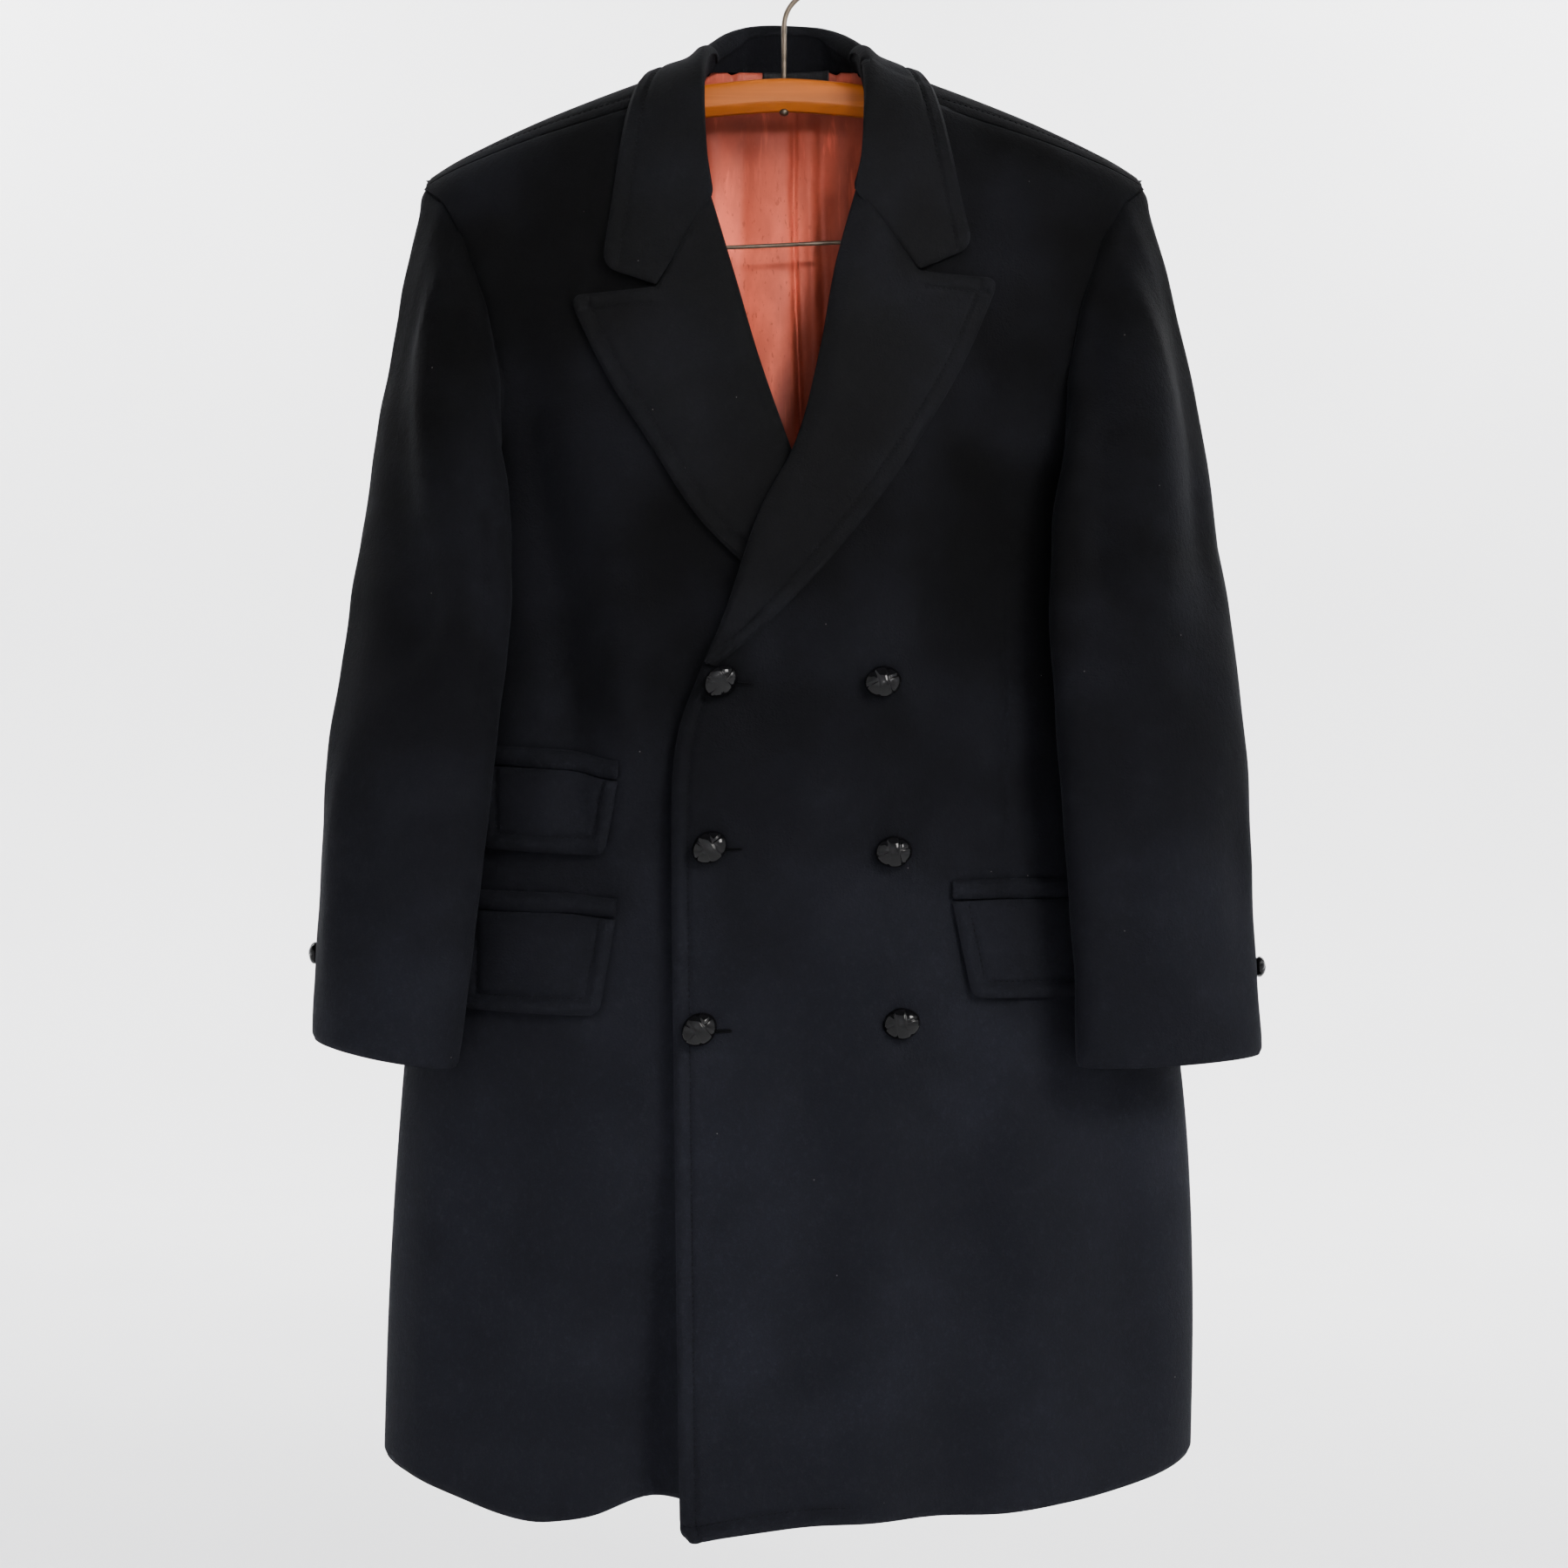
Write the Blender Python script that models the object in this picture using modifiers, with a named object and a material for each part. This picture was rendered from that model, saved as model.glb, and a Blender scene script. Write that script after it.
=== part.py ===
"""A double-breasted overcoat hanging on a wooden hanger.

The coat is an open, hollow shell of cloth walls. Sizes are in millimetres: x runs to the wearer's
left, y runs from the coat's front to its back, and drop is the distance below the back neck level.
The origin is the place where the hanger's hook rests on its rail.
"""
import math
from collections import namedtuple

import bmesh
import bpy
from mathutils import Vector

MM = 0.001

# Walls and seams
CLOTH = 2.4
LINING_CLOTH = 1.0
SEAM = 0.3
UNDERARM_GAP = 0.6
UNDERARM_GAP_REACH = 34.0
UNDERARM_GAP_POWER = 12

# Levels
NECK_LEVEL = -91.8
SIDE_HEM = 955.0
FRONT_HEM_DIP = 17.0
UNDERARM = 292.0

# Sides of the coat
FRONT = -1
BACK = 1
RIGHT = -1
LEFT = 1
SIDE_NAMES = {RIGHT: "right", LEFT: "left"}

# Shoulders
NECK_HALF = 58.0
SHOULDER_ROUND = 90.0
SHOULDER_SEAM_TURN = math.radians(48.0)
SHOULDER_END_TURN = math.radians(24.0)
BACK_NECK_TURN = math.radians(36.0)
NECK_CORNER = 8

# The panels' grids: columns shared out from the edge to the side, and levels down the side
SHOULDER_END = 245.0
FRONT_SHARES = (0, 0.07, 0.15, 0.23, 0.31, 0.39, 0.47, 0.55, 0.63, 0.71, 0.79, 0.86, 0.92, 0.965)
ARM_STRIP = 0.992
SIDE_STRIP = 0.9997
PANEL_DROPS = (80.5, 82, 95, 122, 166, 216, 256, 281, UNDERARM, 312, 350, 404, 464, 530, 600, 670, 740, 810,
               880, SIDE_HEM)
BACK_REACHES = (0, 22, 39, 49, 55, NECK_HALF, 76, 98, 120, 142, 164, 184, 204, 222, 236)
BACK_OVER_STEPS = (0, 0.02, 0.17, 0.34, 0.5, 0.67, 0.84, 1)
BACK_FIRST_LEVEL = 5

# The over front lies this far outside the under front where the two lap
LAP = 10.0
LAP_FULL_X = 45.0
LAP_END_X = 140.0

# The body's half widths and depths, from the neck to the hem
BodyRow = namedtuple("BodyRow", "drop right left front back")
BODY = (
    BodyRow(-60, 330, 330, 54, 44),
    BodyRow(60, 315, 315, 62, 46),
    BodyRow(160, 264, 264, 70, 50),
    BodyRow(230, 230, 230, 74, 52),
    BodyRow(UNDERARM, 212, 212, 77, 54),
    BodyRow(372, 226, 228, 80, 55),
    BodyRow(464, 240, 243, 82, 56),
    BodyRow(556, 250, 255, 84, 57),
    BodyRow(700, 263, 275, 88, 59),
    BodyRow(823, 271, 281, 93, 62),
    BodyRow(980, 276, 279, 98, 66),
)

# The shoulder's top line, from the middle of the neck outwards
RidgeRow = namedtuple("RidgeRow", "reach drop")
RIDGE = (
    RidgeRow(0, -25),
    RidgeRow(NECK_HALF, -8),
    RidgeRow(99, 6),
    RidgeRow(164, 31),
    RidgeRow(216, 55),
    RidgeRow(237, 67),
    RidgeRow(270, 90),
)

# The armhole, from the shoulder point to the underarm: distance from the middle, front and back
ArmholeRow = namedtuple("ArmholeRow", "drop front back")
ARMHOLE = (
    ArmholeRow(80, SHOULDER_END, SHOULDER_END),
    ArmholeRow(95, 229, 237),
    ArmholeRow(122, 214, 224),
    ArmholeRow(166, 199, 210),
    ArmholeRow(216, 190, 202),
    ArmholeRow(256, 192, 202),
    ArmholeRow(281, 201, 206),
    ArmholeRow(UNDERARM, 212, 212),
)

# The inner edge of each front: the roll line down to the break, then the front edge to the hem
EdgeRow = namedtuple("EdgeRow", "drop left right")
FRONT_EDGE = (
    EdgeRow(-10, 58, -58),
    EdgeRow(40, 55, -55),
    EdgeRow(100, 48, -50),
    EdgeRow(143, 40, -35),
    EdgeRow(205, 28, -17),
    EdgeRow(263, 8, 3),
    EdgeRow(312, -17, 22),
    EdgeRow(374, -38, 42),
    EdgeRow(412, -54, 58),
    EdgeRow(450, -68, 68),
    EdgeRow(490, -73, 73),
    EdgeRow(713, -71, 73),
    EdgeRow(980, -67, 71),
)

# The largest folds: troughs (inwards) and swells (outwards) that deepen towards the hem
FoldRow = namedtuple("FoldRow", "panel x spread out starts full")
FOLDS = (
    FoldRow("front_right", -84, 24, -24, 620, 960),
    FoldRow("front_right", -140, 36, 6, 560, 960),
    FoldRow("front_right", -215, 26, -5, 640, 960),
    FoldRow("front_left", -40, 34, 4, 560, 960),
    FoldRow("front_left", 104, 34, -9, 480, 960),
    FoldRow("front_left", 178, 34, 5, 560, 960),
    FoldRow("back", -150, 38, 7, 420, 950),
    FoldRow("back", -70, 32, -10, 380, 950),
    FoldRow("back", 30, 40, 6, 420, 950),
    FoldRow("back", 118, 34, -9, 380, 950),
)

# Each sleeve below the underarm: its middle, half width, half depth and turn from the side seam
SleeveRow = namedtuple("SleeveRow", "drop x y wide deep turn")
SLEEVES = {
    RIGHT: (
        SleeveRow(328, -231, -52, 59, 30, 31),
        SleeveRow(372, -233, -58, 61, 31, 30),
        SleeveRow(464, -244, -63, 61, 32, 27),
        SleeveRow(556, -252, -67, 58, 32, 25),
        SleeveRow(666, -262, -71, 53, 31, 22),
    ),
    LEFT: (
        SleeveRow(328, 232, -52, 62, 30, 28),
        SleeveRow(372, 234, -58, 65, 31, 25),
        SleeveRow(464, 241, -67, 66, 32, 20),
        SleeveRow(556, 246, -75, 64, 32, 17),
        SleeveRow(672, 252, -79, 64, 31, 14),
    ),
}
SLEEVE_TOP_TURN = 15.0
SLEEVE_UNDERARM_TURN = 270.0
SLEEVE_FRONT_EASE = 1.6
SLEEVE_ROOM = 0.9
SLEEVE_UNDERARM_ROOM = 2.5
SLEEVE_BACK_ROOM = 2.3
CUFF_SLANT = 8.0
FOREARM_SEAM = 205.0
HINDARM_SEAM = 335.0
SLEEVE_SEAM_TURN = 0.5

# The lapels: roll line, middle of the leaf and outer edge; the first row is the gorge and the peak
LapelRow = namedtuple("LapelRow", "roll_x roll_drop mid_x mid_drop edge_x edge_drop")
LAPELS = {
    LEFT: (
        LapelRow(47, 104, 91, 153, 145, 157),
        LapelRow(40, 143, 80, 180, 124, 206),
        LapelRow(28, 205, 62, 228, 97, 249),
        LapelRow(8, 263, 37, 281, 66, 296),
        LapelRow(-17, 312, 7, 329, 30, 341),
        LapelRow(-38, 374, -24, 380, -10, 383),
        LapelRow(-52, 408, -48, 410, -44, 411),
    ),
    RIGHT: (
        LapelRow(-49, 112, -85, 167, -147, 173),
        LapelRow(-35, 143, -80, 190, -124, 216),
        LapelRow(-17, 205, -58, 238, -98, 258),
        LapelRow(3, 263, -30, 295, -63, 314),
        LapelRow(22, 312, -3, 338, -26, 353),
        LapelRow(42, 374, 30, 384, 17, 388),
        LapelRow(56, 408, 51, 411, 47, 412),
    ),
}
LAPEL_ROLL = 4.5
LAPEL_ROLL_AT = 0.14
LAPEL_ROLL_SPREAD = 0.2

# The collar from the centre back to its front end: the fold, the leaf's middle and its outer edge
CollarRow = namedtuple("CollarRow", "fold_x fold_y fold_drop mid_x mid_y mid_drop edge_x edge_y edge_drop")
COLLAR_BACK = (
    CollarRow(0, 38, -47, 0, 52, -12, 0, 56, 26),
    CollarRow(31, 33, -45, 44, 47, -12, 64, 50, 24),
    CollarRow(48, 16, -31, 68, 24, -12, 92, 26, 10),
    CollarRow(56, -6, -8, 78, -4, -6, 101, -4, 2),
    CollarRow(57, -30, 30, 83, -36, 34, 111, -34, 44),
)
COLLAR_ENDS = {
    LEFT: (
        CollarRow(53, -46, 70, 87, -55, 90, 121, -52, 92),
        CollarRow(47, -53, 103, 91, -60, 152, 128, -54, 133),
    ),
    RIGHT: (
        CollarRow(53, -46, 74, 84, -55, 98, 118, -52, 100),
        CollarRow(49, -53, 111, 85, -60, 166, 125, -54, 148),
    ),
}
COLLAR_LIFT = 5.5

# The stand inside the collar's back: its top and the neck seam below it
StandRow = namedtuple("StandRow", "top_x top_y top_drop seam_x seam_y seam_drop")
STAND = (
    StandRow(0, 34.5, -44, 0, 29.0, -7.9),
    StandRow(29, 30, -42, 28, 25.0, -7.9),
    StandRow(44.5, 14, -29, 43, 10.2, -8.9),
    StandRow(51, -4, -10, 50, -5, -4),
)

# Pocket flaps: inner end, top of the welt, slope along the pocket and sizes
FlapRow = namedtuple("FlapRow", "name side x drop slope wide high slant")
FLAPS = (
    FlapRow("ticket", RIGHT, 109, 466, 0.05, 92, 54, 9),
    FlapRow("right", RIGHT, 110, 559, 0.02, 104, 65, 11),
    FlapRow("left", LEFT, 110, 549, 0.0, 104, 63, 13),
)
PATCH_GAP = 1.2
WELT_HIGH = 12.5
WELT_THICK = 2.6
FLAP_THICK = 3.2

# Buttons
ButtonRow = namedtuple("ButtonRow", "name x drop")
FRONT_BUTTONS = (
    ButtonRow("edge_top", -40.5, 421),
    ButtonRow("edge_middle", -48, 528),
    ButtonRow("edge_bottom", -54.5, 645),
    ButtonRow("show_top", 64, 421),
    ButtonRow("show_middle", 71, 531),
    ButtonRow("show_bottom", 76, 642),
)
BUTTON_RADIUS = 11.0
BUTTON_HEIGHT = 11.0
CUFF_BUTTON_DROPS = {RIGHT: 600.0, LEFT: 608.0}
CUFF_BUTTON_RADIUS = 7.0
CUFF_BUTTON_HEIGHT = 8.0
BUTTON_SEGMENTS = 14
BUTTON_RINGS = 8

# Lining and label
LINING_GAP = 3.0
LINING_TOP_GAP = 1.5
LINING_ROW_EASE = 1.7
LINING_GAP_REACH = 60.0
LINING_RISE = 30.0
LINING_SHOULDER = 42.0
LINING_NECK_RISE = 20.0
LINING_NECK = -3.0
LABEL_WIDE = 46.0
LABEL_HIGH = 15.0
LABEL_X = 8.0
LABEL_THICK = 0.6
LABEL_GAP = 1.0

# Hanger
HANGER_HALF = 206.0
HANGER_TOP = 5.0
HANGER_SEAT = 2.2
HANGER_SADDLE = 112.0
HANGER_HIGH = 23.0
HANGER_TIP_HIGH = 15.0
HANGER_DEEP = 13.0
HANGER_STATIONS = 24
HANGER_SQUARE = 0.7
WIRE_RADIUS = 1.8
HOOK_RADIUS = 22.0
HOOK_START = math.radians(-72.0)
HOOK_END = math.radians(205.0)
HOOK_STEPS = 26
NUT_RADIUS = 3.2
TROUSER_WIRE_RADIUS = 1.4
TROUSER_WIRE_HALF = 166.0
TROUSER_WIRE_DROP = 117.0
TROUSER_WIRE_SAG = 1.5
TROUSER_WIRE_BEND = 12.0

Finish = namedtuple("Finish", "colour roughness metallic")
FINISHES = {
    "overcoat_cloth": Finish((0.012, 0.013, 0.017), 0.92, 0.0),
    "lining_satin": Finish((0.52, 0.13, 0.09), 0.45, 0.0),
    "label_cloth": Finish((0.015, 0.015, 0.017), 0.7, 0.0),
    "button_gloss": Finish((0.006, 0.006, 0.007), 0.12, 0.0),
    "hanger_wood": Finish((0.56, 0.29, 0.09), 0.4, 0.0),
    "hanger_wire": Finish((0.42, 0.38, 0.33), 0.35, 1.0),
}


def clamp(value, low=0.0, high=1.0):
    return min(max(value, low), high)


def ease(value):
    value = clamp(value)
    return value * value * (3 - 2 * value)


def mix(a, b, share):
    return a + (b - a) * share


def read(rows, key, column, place):
    """Reads one column of a table at a place between its rows, along a smooth curve."""
    keys = [getattr(row, key) for row in rows]
    values = [getattr(row, column) for row in rows]
    place = clamp(place, keys[0], keys[-1])
    last = len(keys) - 1
    slot = 0
    while slot < last - 1 and place > keys[slot + 1]:
        slot += 1
    slopes = []
    for index in (slot, slot + 1):
        before = max(index - 1, 0)
        after = min(index + 1, last)
        slopes.append((values[after] - values[before]) / (keys[after] - keys[before]))
    span = keys[slot + 1] - keys[slot]
    t = (place - keys[slot]) / span
    return (values[slot] * (1 + 2 * t) * (1 - t) ** 2 + values[slot + 1] * t * t * (3 - 2 * t)
            + span * t * (1 - t) * (slopes[0] * (1 - t) - slopes[1] * t))


def read_row(rows, place):
    """Reads every column of a table at a place counted in rows, as a list."""
    numbered = [namedtuple("Numbered", ("place",) + row._fields)(index, *row)
                for index, row in enumerate(rows)]
    return [read(numbered, "place", column, place) for column in rows[0]._fields]


def at(x, y, drop):
    """A point in metres in the part's frame."""
    return Vector((x * MM, y * MM, (NECK_LEVEL - drop) * MM))


def half_width(drop, side):
    return read(BODY, "drop", "right" if side == RIGHT else "left", drop)


def depth(drop, face):
    return read(BODY, "drop", "front" if face == FRONT else "back", drop)


def ridge(x):
    return read(RIDGE, "reach", "drop", abs(x))


def roundness(x, drop):
    """How much of the body's depth is left at x, as its section rounds towards the side seam."""
    side = LEFT if x >= 0 else RIGHT
    across = clamp(abs(x) / half_width(drop, side))
    return math.sqrt(1 - across * across)


def shoulder_rise(x, drop):
    """How much of the depth is reached below the shoulder's rounded top line."""
    down = clamp((drop - ridge(x)) / SHOULDER_ROUND)
    return math.sqrt(1 - (1 - down) ** 2)


def fold_push(panel, x, drop):
    """How far a panel's folds move its skin outwards."""
    push = 0.0
    for fold in FOLDS:
        if fold.panel == panel:
            grown = ease((drop - fold.starts) / (fold.full - fold.starts))
            push += fold.out * grown * math.exp(-((x - fold.x) / fold.spread) ** 2)
    return push


def skin(panel, x, drop, face, out=0.0):
    """The y of a panel's outer skin, moved outwards by a distance."""
    reach = depth(drop, face) * roundness(x, drop) * shoulder_rise(x, drop)
    reach += fold_push(panel, x, drop) * roundness(x, drop)
    if panel == "front_left":
        reach += LAP * (1 - ease((x - LAP_FULL_X) / (LAP_END_X - LAP_FULL_X)))
    return face * (reach + out)


def front_panel(side):
    return "front_" + SIDE_NAMES[side]


def front_edge(side, drop):
    return read(FRONT_EDGE, "drop", SIDE_NAMES[side], drop)


def front_hem(side, x):
    if side == RIGHT:
        return SIDE_HEM + 2
    return SIDE_HEM + FRONT_HEM_DIP * ease((190 - x) / 250)


def finish_material(name):
    material = bpy.data.materials.get(name)
    if material is None:
        finish = FINISHES[name]
        material = bpy.data.materials.new(name)
        material.use_nodes = True
        shader = material.node_tree.nodes["Principled BSDF"]
        shader.inputs["Base Color"].default_value = (*finish.colour, 1)
        shader.inputs["Roughness"].default_value = finish.roughness
        shader.inputs["Metallic"].default_value = finish.metallic
    return material


def add_object(name, data, finish):
    """Adds a sub-part to the coat's collection, with its material."""
    data.materials.append(finish_material(finish))
    piece = bpy.data.objects.new(name, data)
    bpy.data.collections["double_breasted_coat"].objects.link(piece)
    return piece


def add_wall(name, rows, thickness, finish):
    """Makes a cloth wall from a grid of outer points whose faces look outwards."""
    bm = bmesh.new()
    grid = [[bm.verts.new(point) for point in row] for row in rows]
    for upper, lower in zip(grid, grid[1:]):
        for index in range(len(upper) - 1):
            bm.faces.new((upper[index], lower[index], lower[index + 1], upper[index + 1]))
    mesh = bpy.data.meshes.new(name)
    bm.to_mesh(mesh)
    bm.free()
    mesh.shade_smooth()
    piece = add_object(name, mesh, finish)
    wall = piece.modifiers.new("wall", "SOLIDIFY")
    wall.thickness = thickness * MM
    wall.offset = -1
    return piece


def turned(rows, side):
    """Reverses each row on the wearer's right, so that a mirrored grid still looks outwards."""
    if side == RIGHT:
        return [list(reversed(row)) for row in rows]
    return rows


def seam_turn_drop(x, turn):
    return ridge(x) + SHOULDER_ROUND * (1 - math.cos(turn))


def seam_turn(reach):
    """How far in front of the shoulder's top line the shoulder seam lies, as an angle."""
    return mix(SHOULDER_SEAM_TURN, SHOULDER_END_TURN, (reach / SHOULDER_END) ** 2)


def outer_reach(drop, side, face):
    """Where a panel ends towards the side: at the armhole above, at the side seam below."""
    if drop >= UNDERARM:
        return half_width(drop, side)
    for upper, lower in zip(ARMHOLE, ARMHOLE[1:]):
        if drop <= lower.drop:
            share = clamp((drop - upper.drop) / (lower.drop - upper.drop))
            ends = (upper.front, lower.front) if face == FRONT else (upper.back, lower.back)
            return mix(*ends, share)
    return half_width(drop, side)


def seam_share(drop):
    """The place of the narrow strip beside the side seam, which keeps the seam's edges square."""
    return mix(ARM_STRIP, SIDE_STRIP, ease((drop - UNDERARM + 20) / 20))


def seam_gap(share, drop):
    """Half the gap between the front and the back, a little wider at the underarm's corner."""
    near = clamp(1 - abs(drop - UNDERARM) / UNDERARM_GAP_REACH)
    return SEAM / 2 + UNDERARM_GAP * near * share ** UNDERARM_GAP_POWER


def make_front(side):
    """One front, from the shoulder seam, neck and armhole down to the hem."""
    panel = front_panel(side)
    rows = []
    top_end = PANEL_DROPS[0]
    for level in PANEL_DROPS:
        down = (level - top_end) / (PANEL_DROPS[-1] - top_end)
        row = []
        for share in FRONT_SHARES + (None, 1.0):
            if share is None:
                share = seam_share(level)
            reach = mix(NECK_HALF, SHOULDER_END, share)
            top = seam_turn_drop(reach, seam_turn(reach)) + SEAM * 2
            hem_x = mix(front_edge(side, SIDE_HEM), side * half_width(SIDE_HEM, side), share)
            drop = mix(top, front_hem(side, hem_x), down)
            x = mix(front_edge(side, drop), side * outer_reach(drop, side, FRONT), share)
            row.append(at(x, skin(panel, x, drop, FRONT, seam_gap(share, drop)), drop))
        rows.append(row)
    add_wall(panel, turned(rows, side), CLOTH, "overcoat_cloth")


def back_start_turn(reach):
    """Where the back starts: at the back of the neck, or in front of the shoulder's top line."""
    if reach >= NECK_HALF:
        return -seam_turn(reach)
    return mix(BACK_NECK_TURN, -seam_turn(NECK_HALF), (reach / NECK_HALF) ** NECK_CORNER)


def back_line(side, reach, strip=False):
    """One line of the back's grid: over the shoulder from its start, then down to the hem."""
    start = back_start_turn(reach)
    places = []
    for over in BACK_OVER_STEPS:
        turn = mix(start, math.pi / 2, over)
        places.append((seam_turn_drop(reach, turn), FRONT if turn < 0 else BACK))
    first = places[-1][0]
    round_end = seam_turn_drop(SHOULDER_END, math.pi / 2)
    for level in PANEL_DROPS[BACK_FIRST_LEVEL:]:
        down = (level - round_end) / (SIDE_HEM - round_end)
        places.append((mix(first, SIDE_HEM, down), BACK))
    points = []
    for drop, face in places:
        x = side * reach
        share = seam_share(drop) if strip else reach / SHOULDER_END
        if face == BACK:
            x = side * share * outer_reach(drop, side, BACK)
        points.append(at(x, skin("back", x, drop, face, seam_gap(share, drop)), drop))
    return points


def make_back():
    """The back, from side seam to side seam, carried over both shoulders."""
    halves = {}
    for side in (LEFT, RIGHT):
        halves[side] = [back_line(side, reach) for reach in BACK_REACHES]
        halves[side].append(back_line(side, SHOULDER_END * ARM_STRIP, strip=True))
        halves[side].append(back_line(side, SHOULDER_END))
    lines = halves[LEFT][::-1] + halves[RIGHT][1:]
    rows = [list(row) for row in zip(*lines)]
    add_wall("back", rows, CLOTH, "overcoat_cloth")


def armhole_point(side, turn):
    """A point just outside the armhole, by its turn in degrees from the shoulder point by the front."""
    face = FRONT if turn <= 180 else BACK
    share = turn / 180 if turn <= 180 else (360 - turn) / 180
    rows = (ArmholeRow(ridge(SHOULDER_END), SHOULDER_END, SHOULDER_END),) + ARMHOLE
    place = share * (len(rows) - 1)
    slot = min(int(place), len(rows) - 2)
    ends = []
    for row in rows[slot:slot + 2]:
        x = side * (row.front if face == FRONT else row.back)
        ends.append(Vector((x, skin("sleeve", x, row.drop, face, SEAM / 2), row.drop)))
    point = ends[0].lerp(ends[1], place - slot)
    room = SLEEVE_ROOM + SLEEVE_UNDERARM_ROOM * ease((share - 0.6) / 0.4)
    if face == BACK:
        room += SLEEVE_BACK_ROOM * ease(share / 0.06)
    return point + Vector((side * room, 0, -room / 2))


def sleeve_section(side, drop, turn):
    """A point of the sleeve's tube, by its turn in degrees from the outer edge round by the front."""
    rows = SLEEVES[side]
    lean = math.radians(read(rows, "drop", "turn", drop))
    outer = Vector((side * math.cos(lean), math.sin(lean), 0))
    front = Vector((side * math.sin(lean), -math.cos(lean), 0))
    angle = math.radians(turn)
    middle = Vector((read(rows, "drop", "x", drop), read(rows, "drop", "y", drop), drop))
    wide = read(rows, "drop", "wide", drop) * math.cos(angle)
    deep = read(rows, "drop", "deep", drop) * math.sin(angle)
    return middle + outer * wide + front * deep


def armhole_turn(turn):
    """The place on the armhole that a line of the sleeve starts from."""
    turn = (turn - SLEEVE_TOP_TURN) % 360
    front_span = SLEEVE_UNDERARM_TURN - SLEEVE_TOP_TURN
    if turn <= front_span:
        return 180 * (turn / front_span) ** (1 / SLEEVE_FRONT_EASE)
    return 180 + 180 * (turn - front_span) / (360 - front_span)


def sleeve_line(side, turn, cap_rows, tube_rows):
    """One line of the sleeve's grid, from the armhole over the cap and down to the cuff."""
    top = SLEEVES[side][0].drop
    cuff = SLEEVES[side][-1].drop
    start = armhole_point(side, armhole_turn(turn))
    end = sleeve_section(side, top, turn)
    level = Vector((end.x - start.x, end.y - start.y, 0))
    fall = Vector((0, 0, end.z - start.z))
    leave = start + level * 0.5 + fall * 0.04
    arrive = end - fall * 0.6
    points = []
    for index in range(cap_rows):
        t = index / cap_rows
        points.append(start * (1 - t) ** 3 + leave * 3 * t * (1 - t) ** 2
                      + arrive * 3 * t * t * (1 - t) + end * t ** 3)
    cuff_here = cuff - CUFF_SLANT * (1 + math.cos(math.radians(turn))) / 2
    for index in range(tube_rows + 1):
        points.append(sleeve_section(side, mix(top, cuff_here, index / tube_rows), turn))
    return [at(point.x, point.y, point.z) for point in points]


def make_sleeve(side):
    """A two-piece sleeve: the top sleeve outside, the under sleeve against the body."""
    spans = {
        "top": (HINDARM_SEAM - 360, FOREARM_SEAM, 14),
        "under": (FOREARM_SEAM, HINDARM_SEAM, 8),
    }
    for part, (first, last, columns) in spans.items():
        turns = [first + SLEEVE_SEAM_TURN, first + 2 * SLEEVE_SEAM_TURN]
        turns += [mix(first, last, index / columns) for index in range(1, columns)]
        turns += [last - 2 * SLEEVE_SEAM_TURN, last - SLEEVE_SEAM_TURN]
        lines = [sleeve_line(side, turn, 6, 8) for turn in turns]
        rows = [list(reversed(row)) for row in zip(*lines)]
        name = "sleeve_" + SIDE_NAMES[side] + "_" + part
        add_wall(name, turned(rows, side), CLOTH, "overcoat_cloth")


def make_lapel(side):
    """A peaked lapel, laid on its front and rounded where it rolls over."""
    panel = front_panel(side)
    columns = 8
    length_rows = 14
    rows = []
    for step in range(length_rows + 1):
        place = step / length_rows * (len(LAPELS[side]) - 1)
        roll_x, roll_drop, mid_x, mid_drop, edge_x, edge_drop = read_row(LAPELS[side], place)
        row = []
        for index in range(columns + 1):
            share = index / columns
            if share <= 0.5:
                x = mix(roll_x, mid_x, share * 2)
                drop = mix(roll_drop, mid_drop, share * 2)
            else:
                x = mix(mid_x, edge_x, share * 2 - 1)
                drop = mix(mid_drop, edge_drop, share * 2 - 1)
            roll = math.exp(-((share - LAPEL_ROLL_AT) / LAPEL_ROLL_SPREAD) ** 2)
            roll *= (1 - step / length_rows) ** 0.7 * ease(share / LAPEL_ROLL_AT)
            out = SEAM * 2 + CLOTH + LAPEL_ROLL * roll
            row.append(at(x, skin(panel, x, drop, FRONT, out), drop))
        rows.append(row)
    add_wall("lapel_" + SIDE_NAMES[side], turned(rows, side), CLOTH, "overcoat_cloth")


def clear_of_body(x, y, drop, out):
    """Moves a point of the collar outwards where it would lie closer than out to the body."""
    face = FRONT if y < 0 else BACK
    panel = "back" if face == BACK else front_panel(LEFT if x >= 0 else RIGHT)
    wide = depth(drop, face) * roundness(x, drop) + out
    centre = ridge(x) + SHOULDER_ROUND
    if drop >= centre:
        least = abs(skin(panel, x, drop, face, out))
        return (x, face * max(abs(y), least), drop)
    high = SHOULDER_ROUND + out
    size = math.hypot(y / wide, (centre - drop) / high)
    if size < 1:
        y = y / size
        drop = centre - (centre - drop) / size
    if y < 0 and x > 0:
        y = min(y, skin(panel, x, drop, face, out)) if drop > ridge(x) + 12 else y
    return (x, y, drop)


def collar_rows():
    """The whole collar's stations from the wearer's left end round the back to the right end."""
    left = COLLAR_BACK + COLLAR_ENDS[LEFT]
    right = COLLAR_BACK + COLLAR_ENDS[RIGHT]
    mirrored = [row._replace(fold_x=-row.fold_x, mid_x=-row.mid_x, edge_x=-row.edge_x) for row in right]
    return list(reversed(left)) + mirrored[1:]


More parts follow.
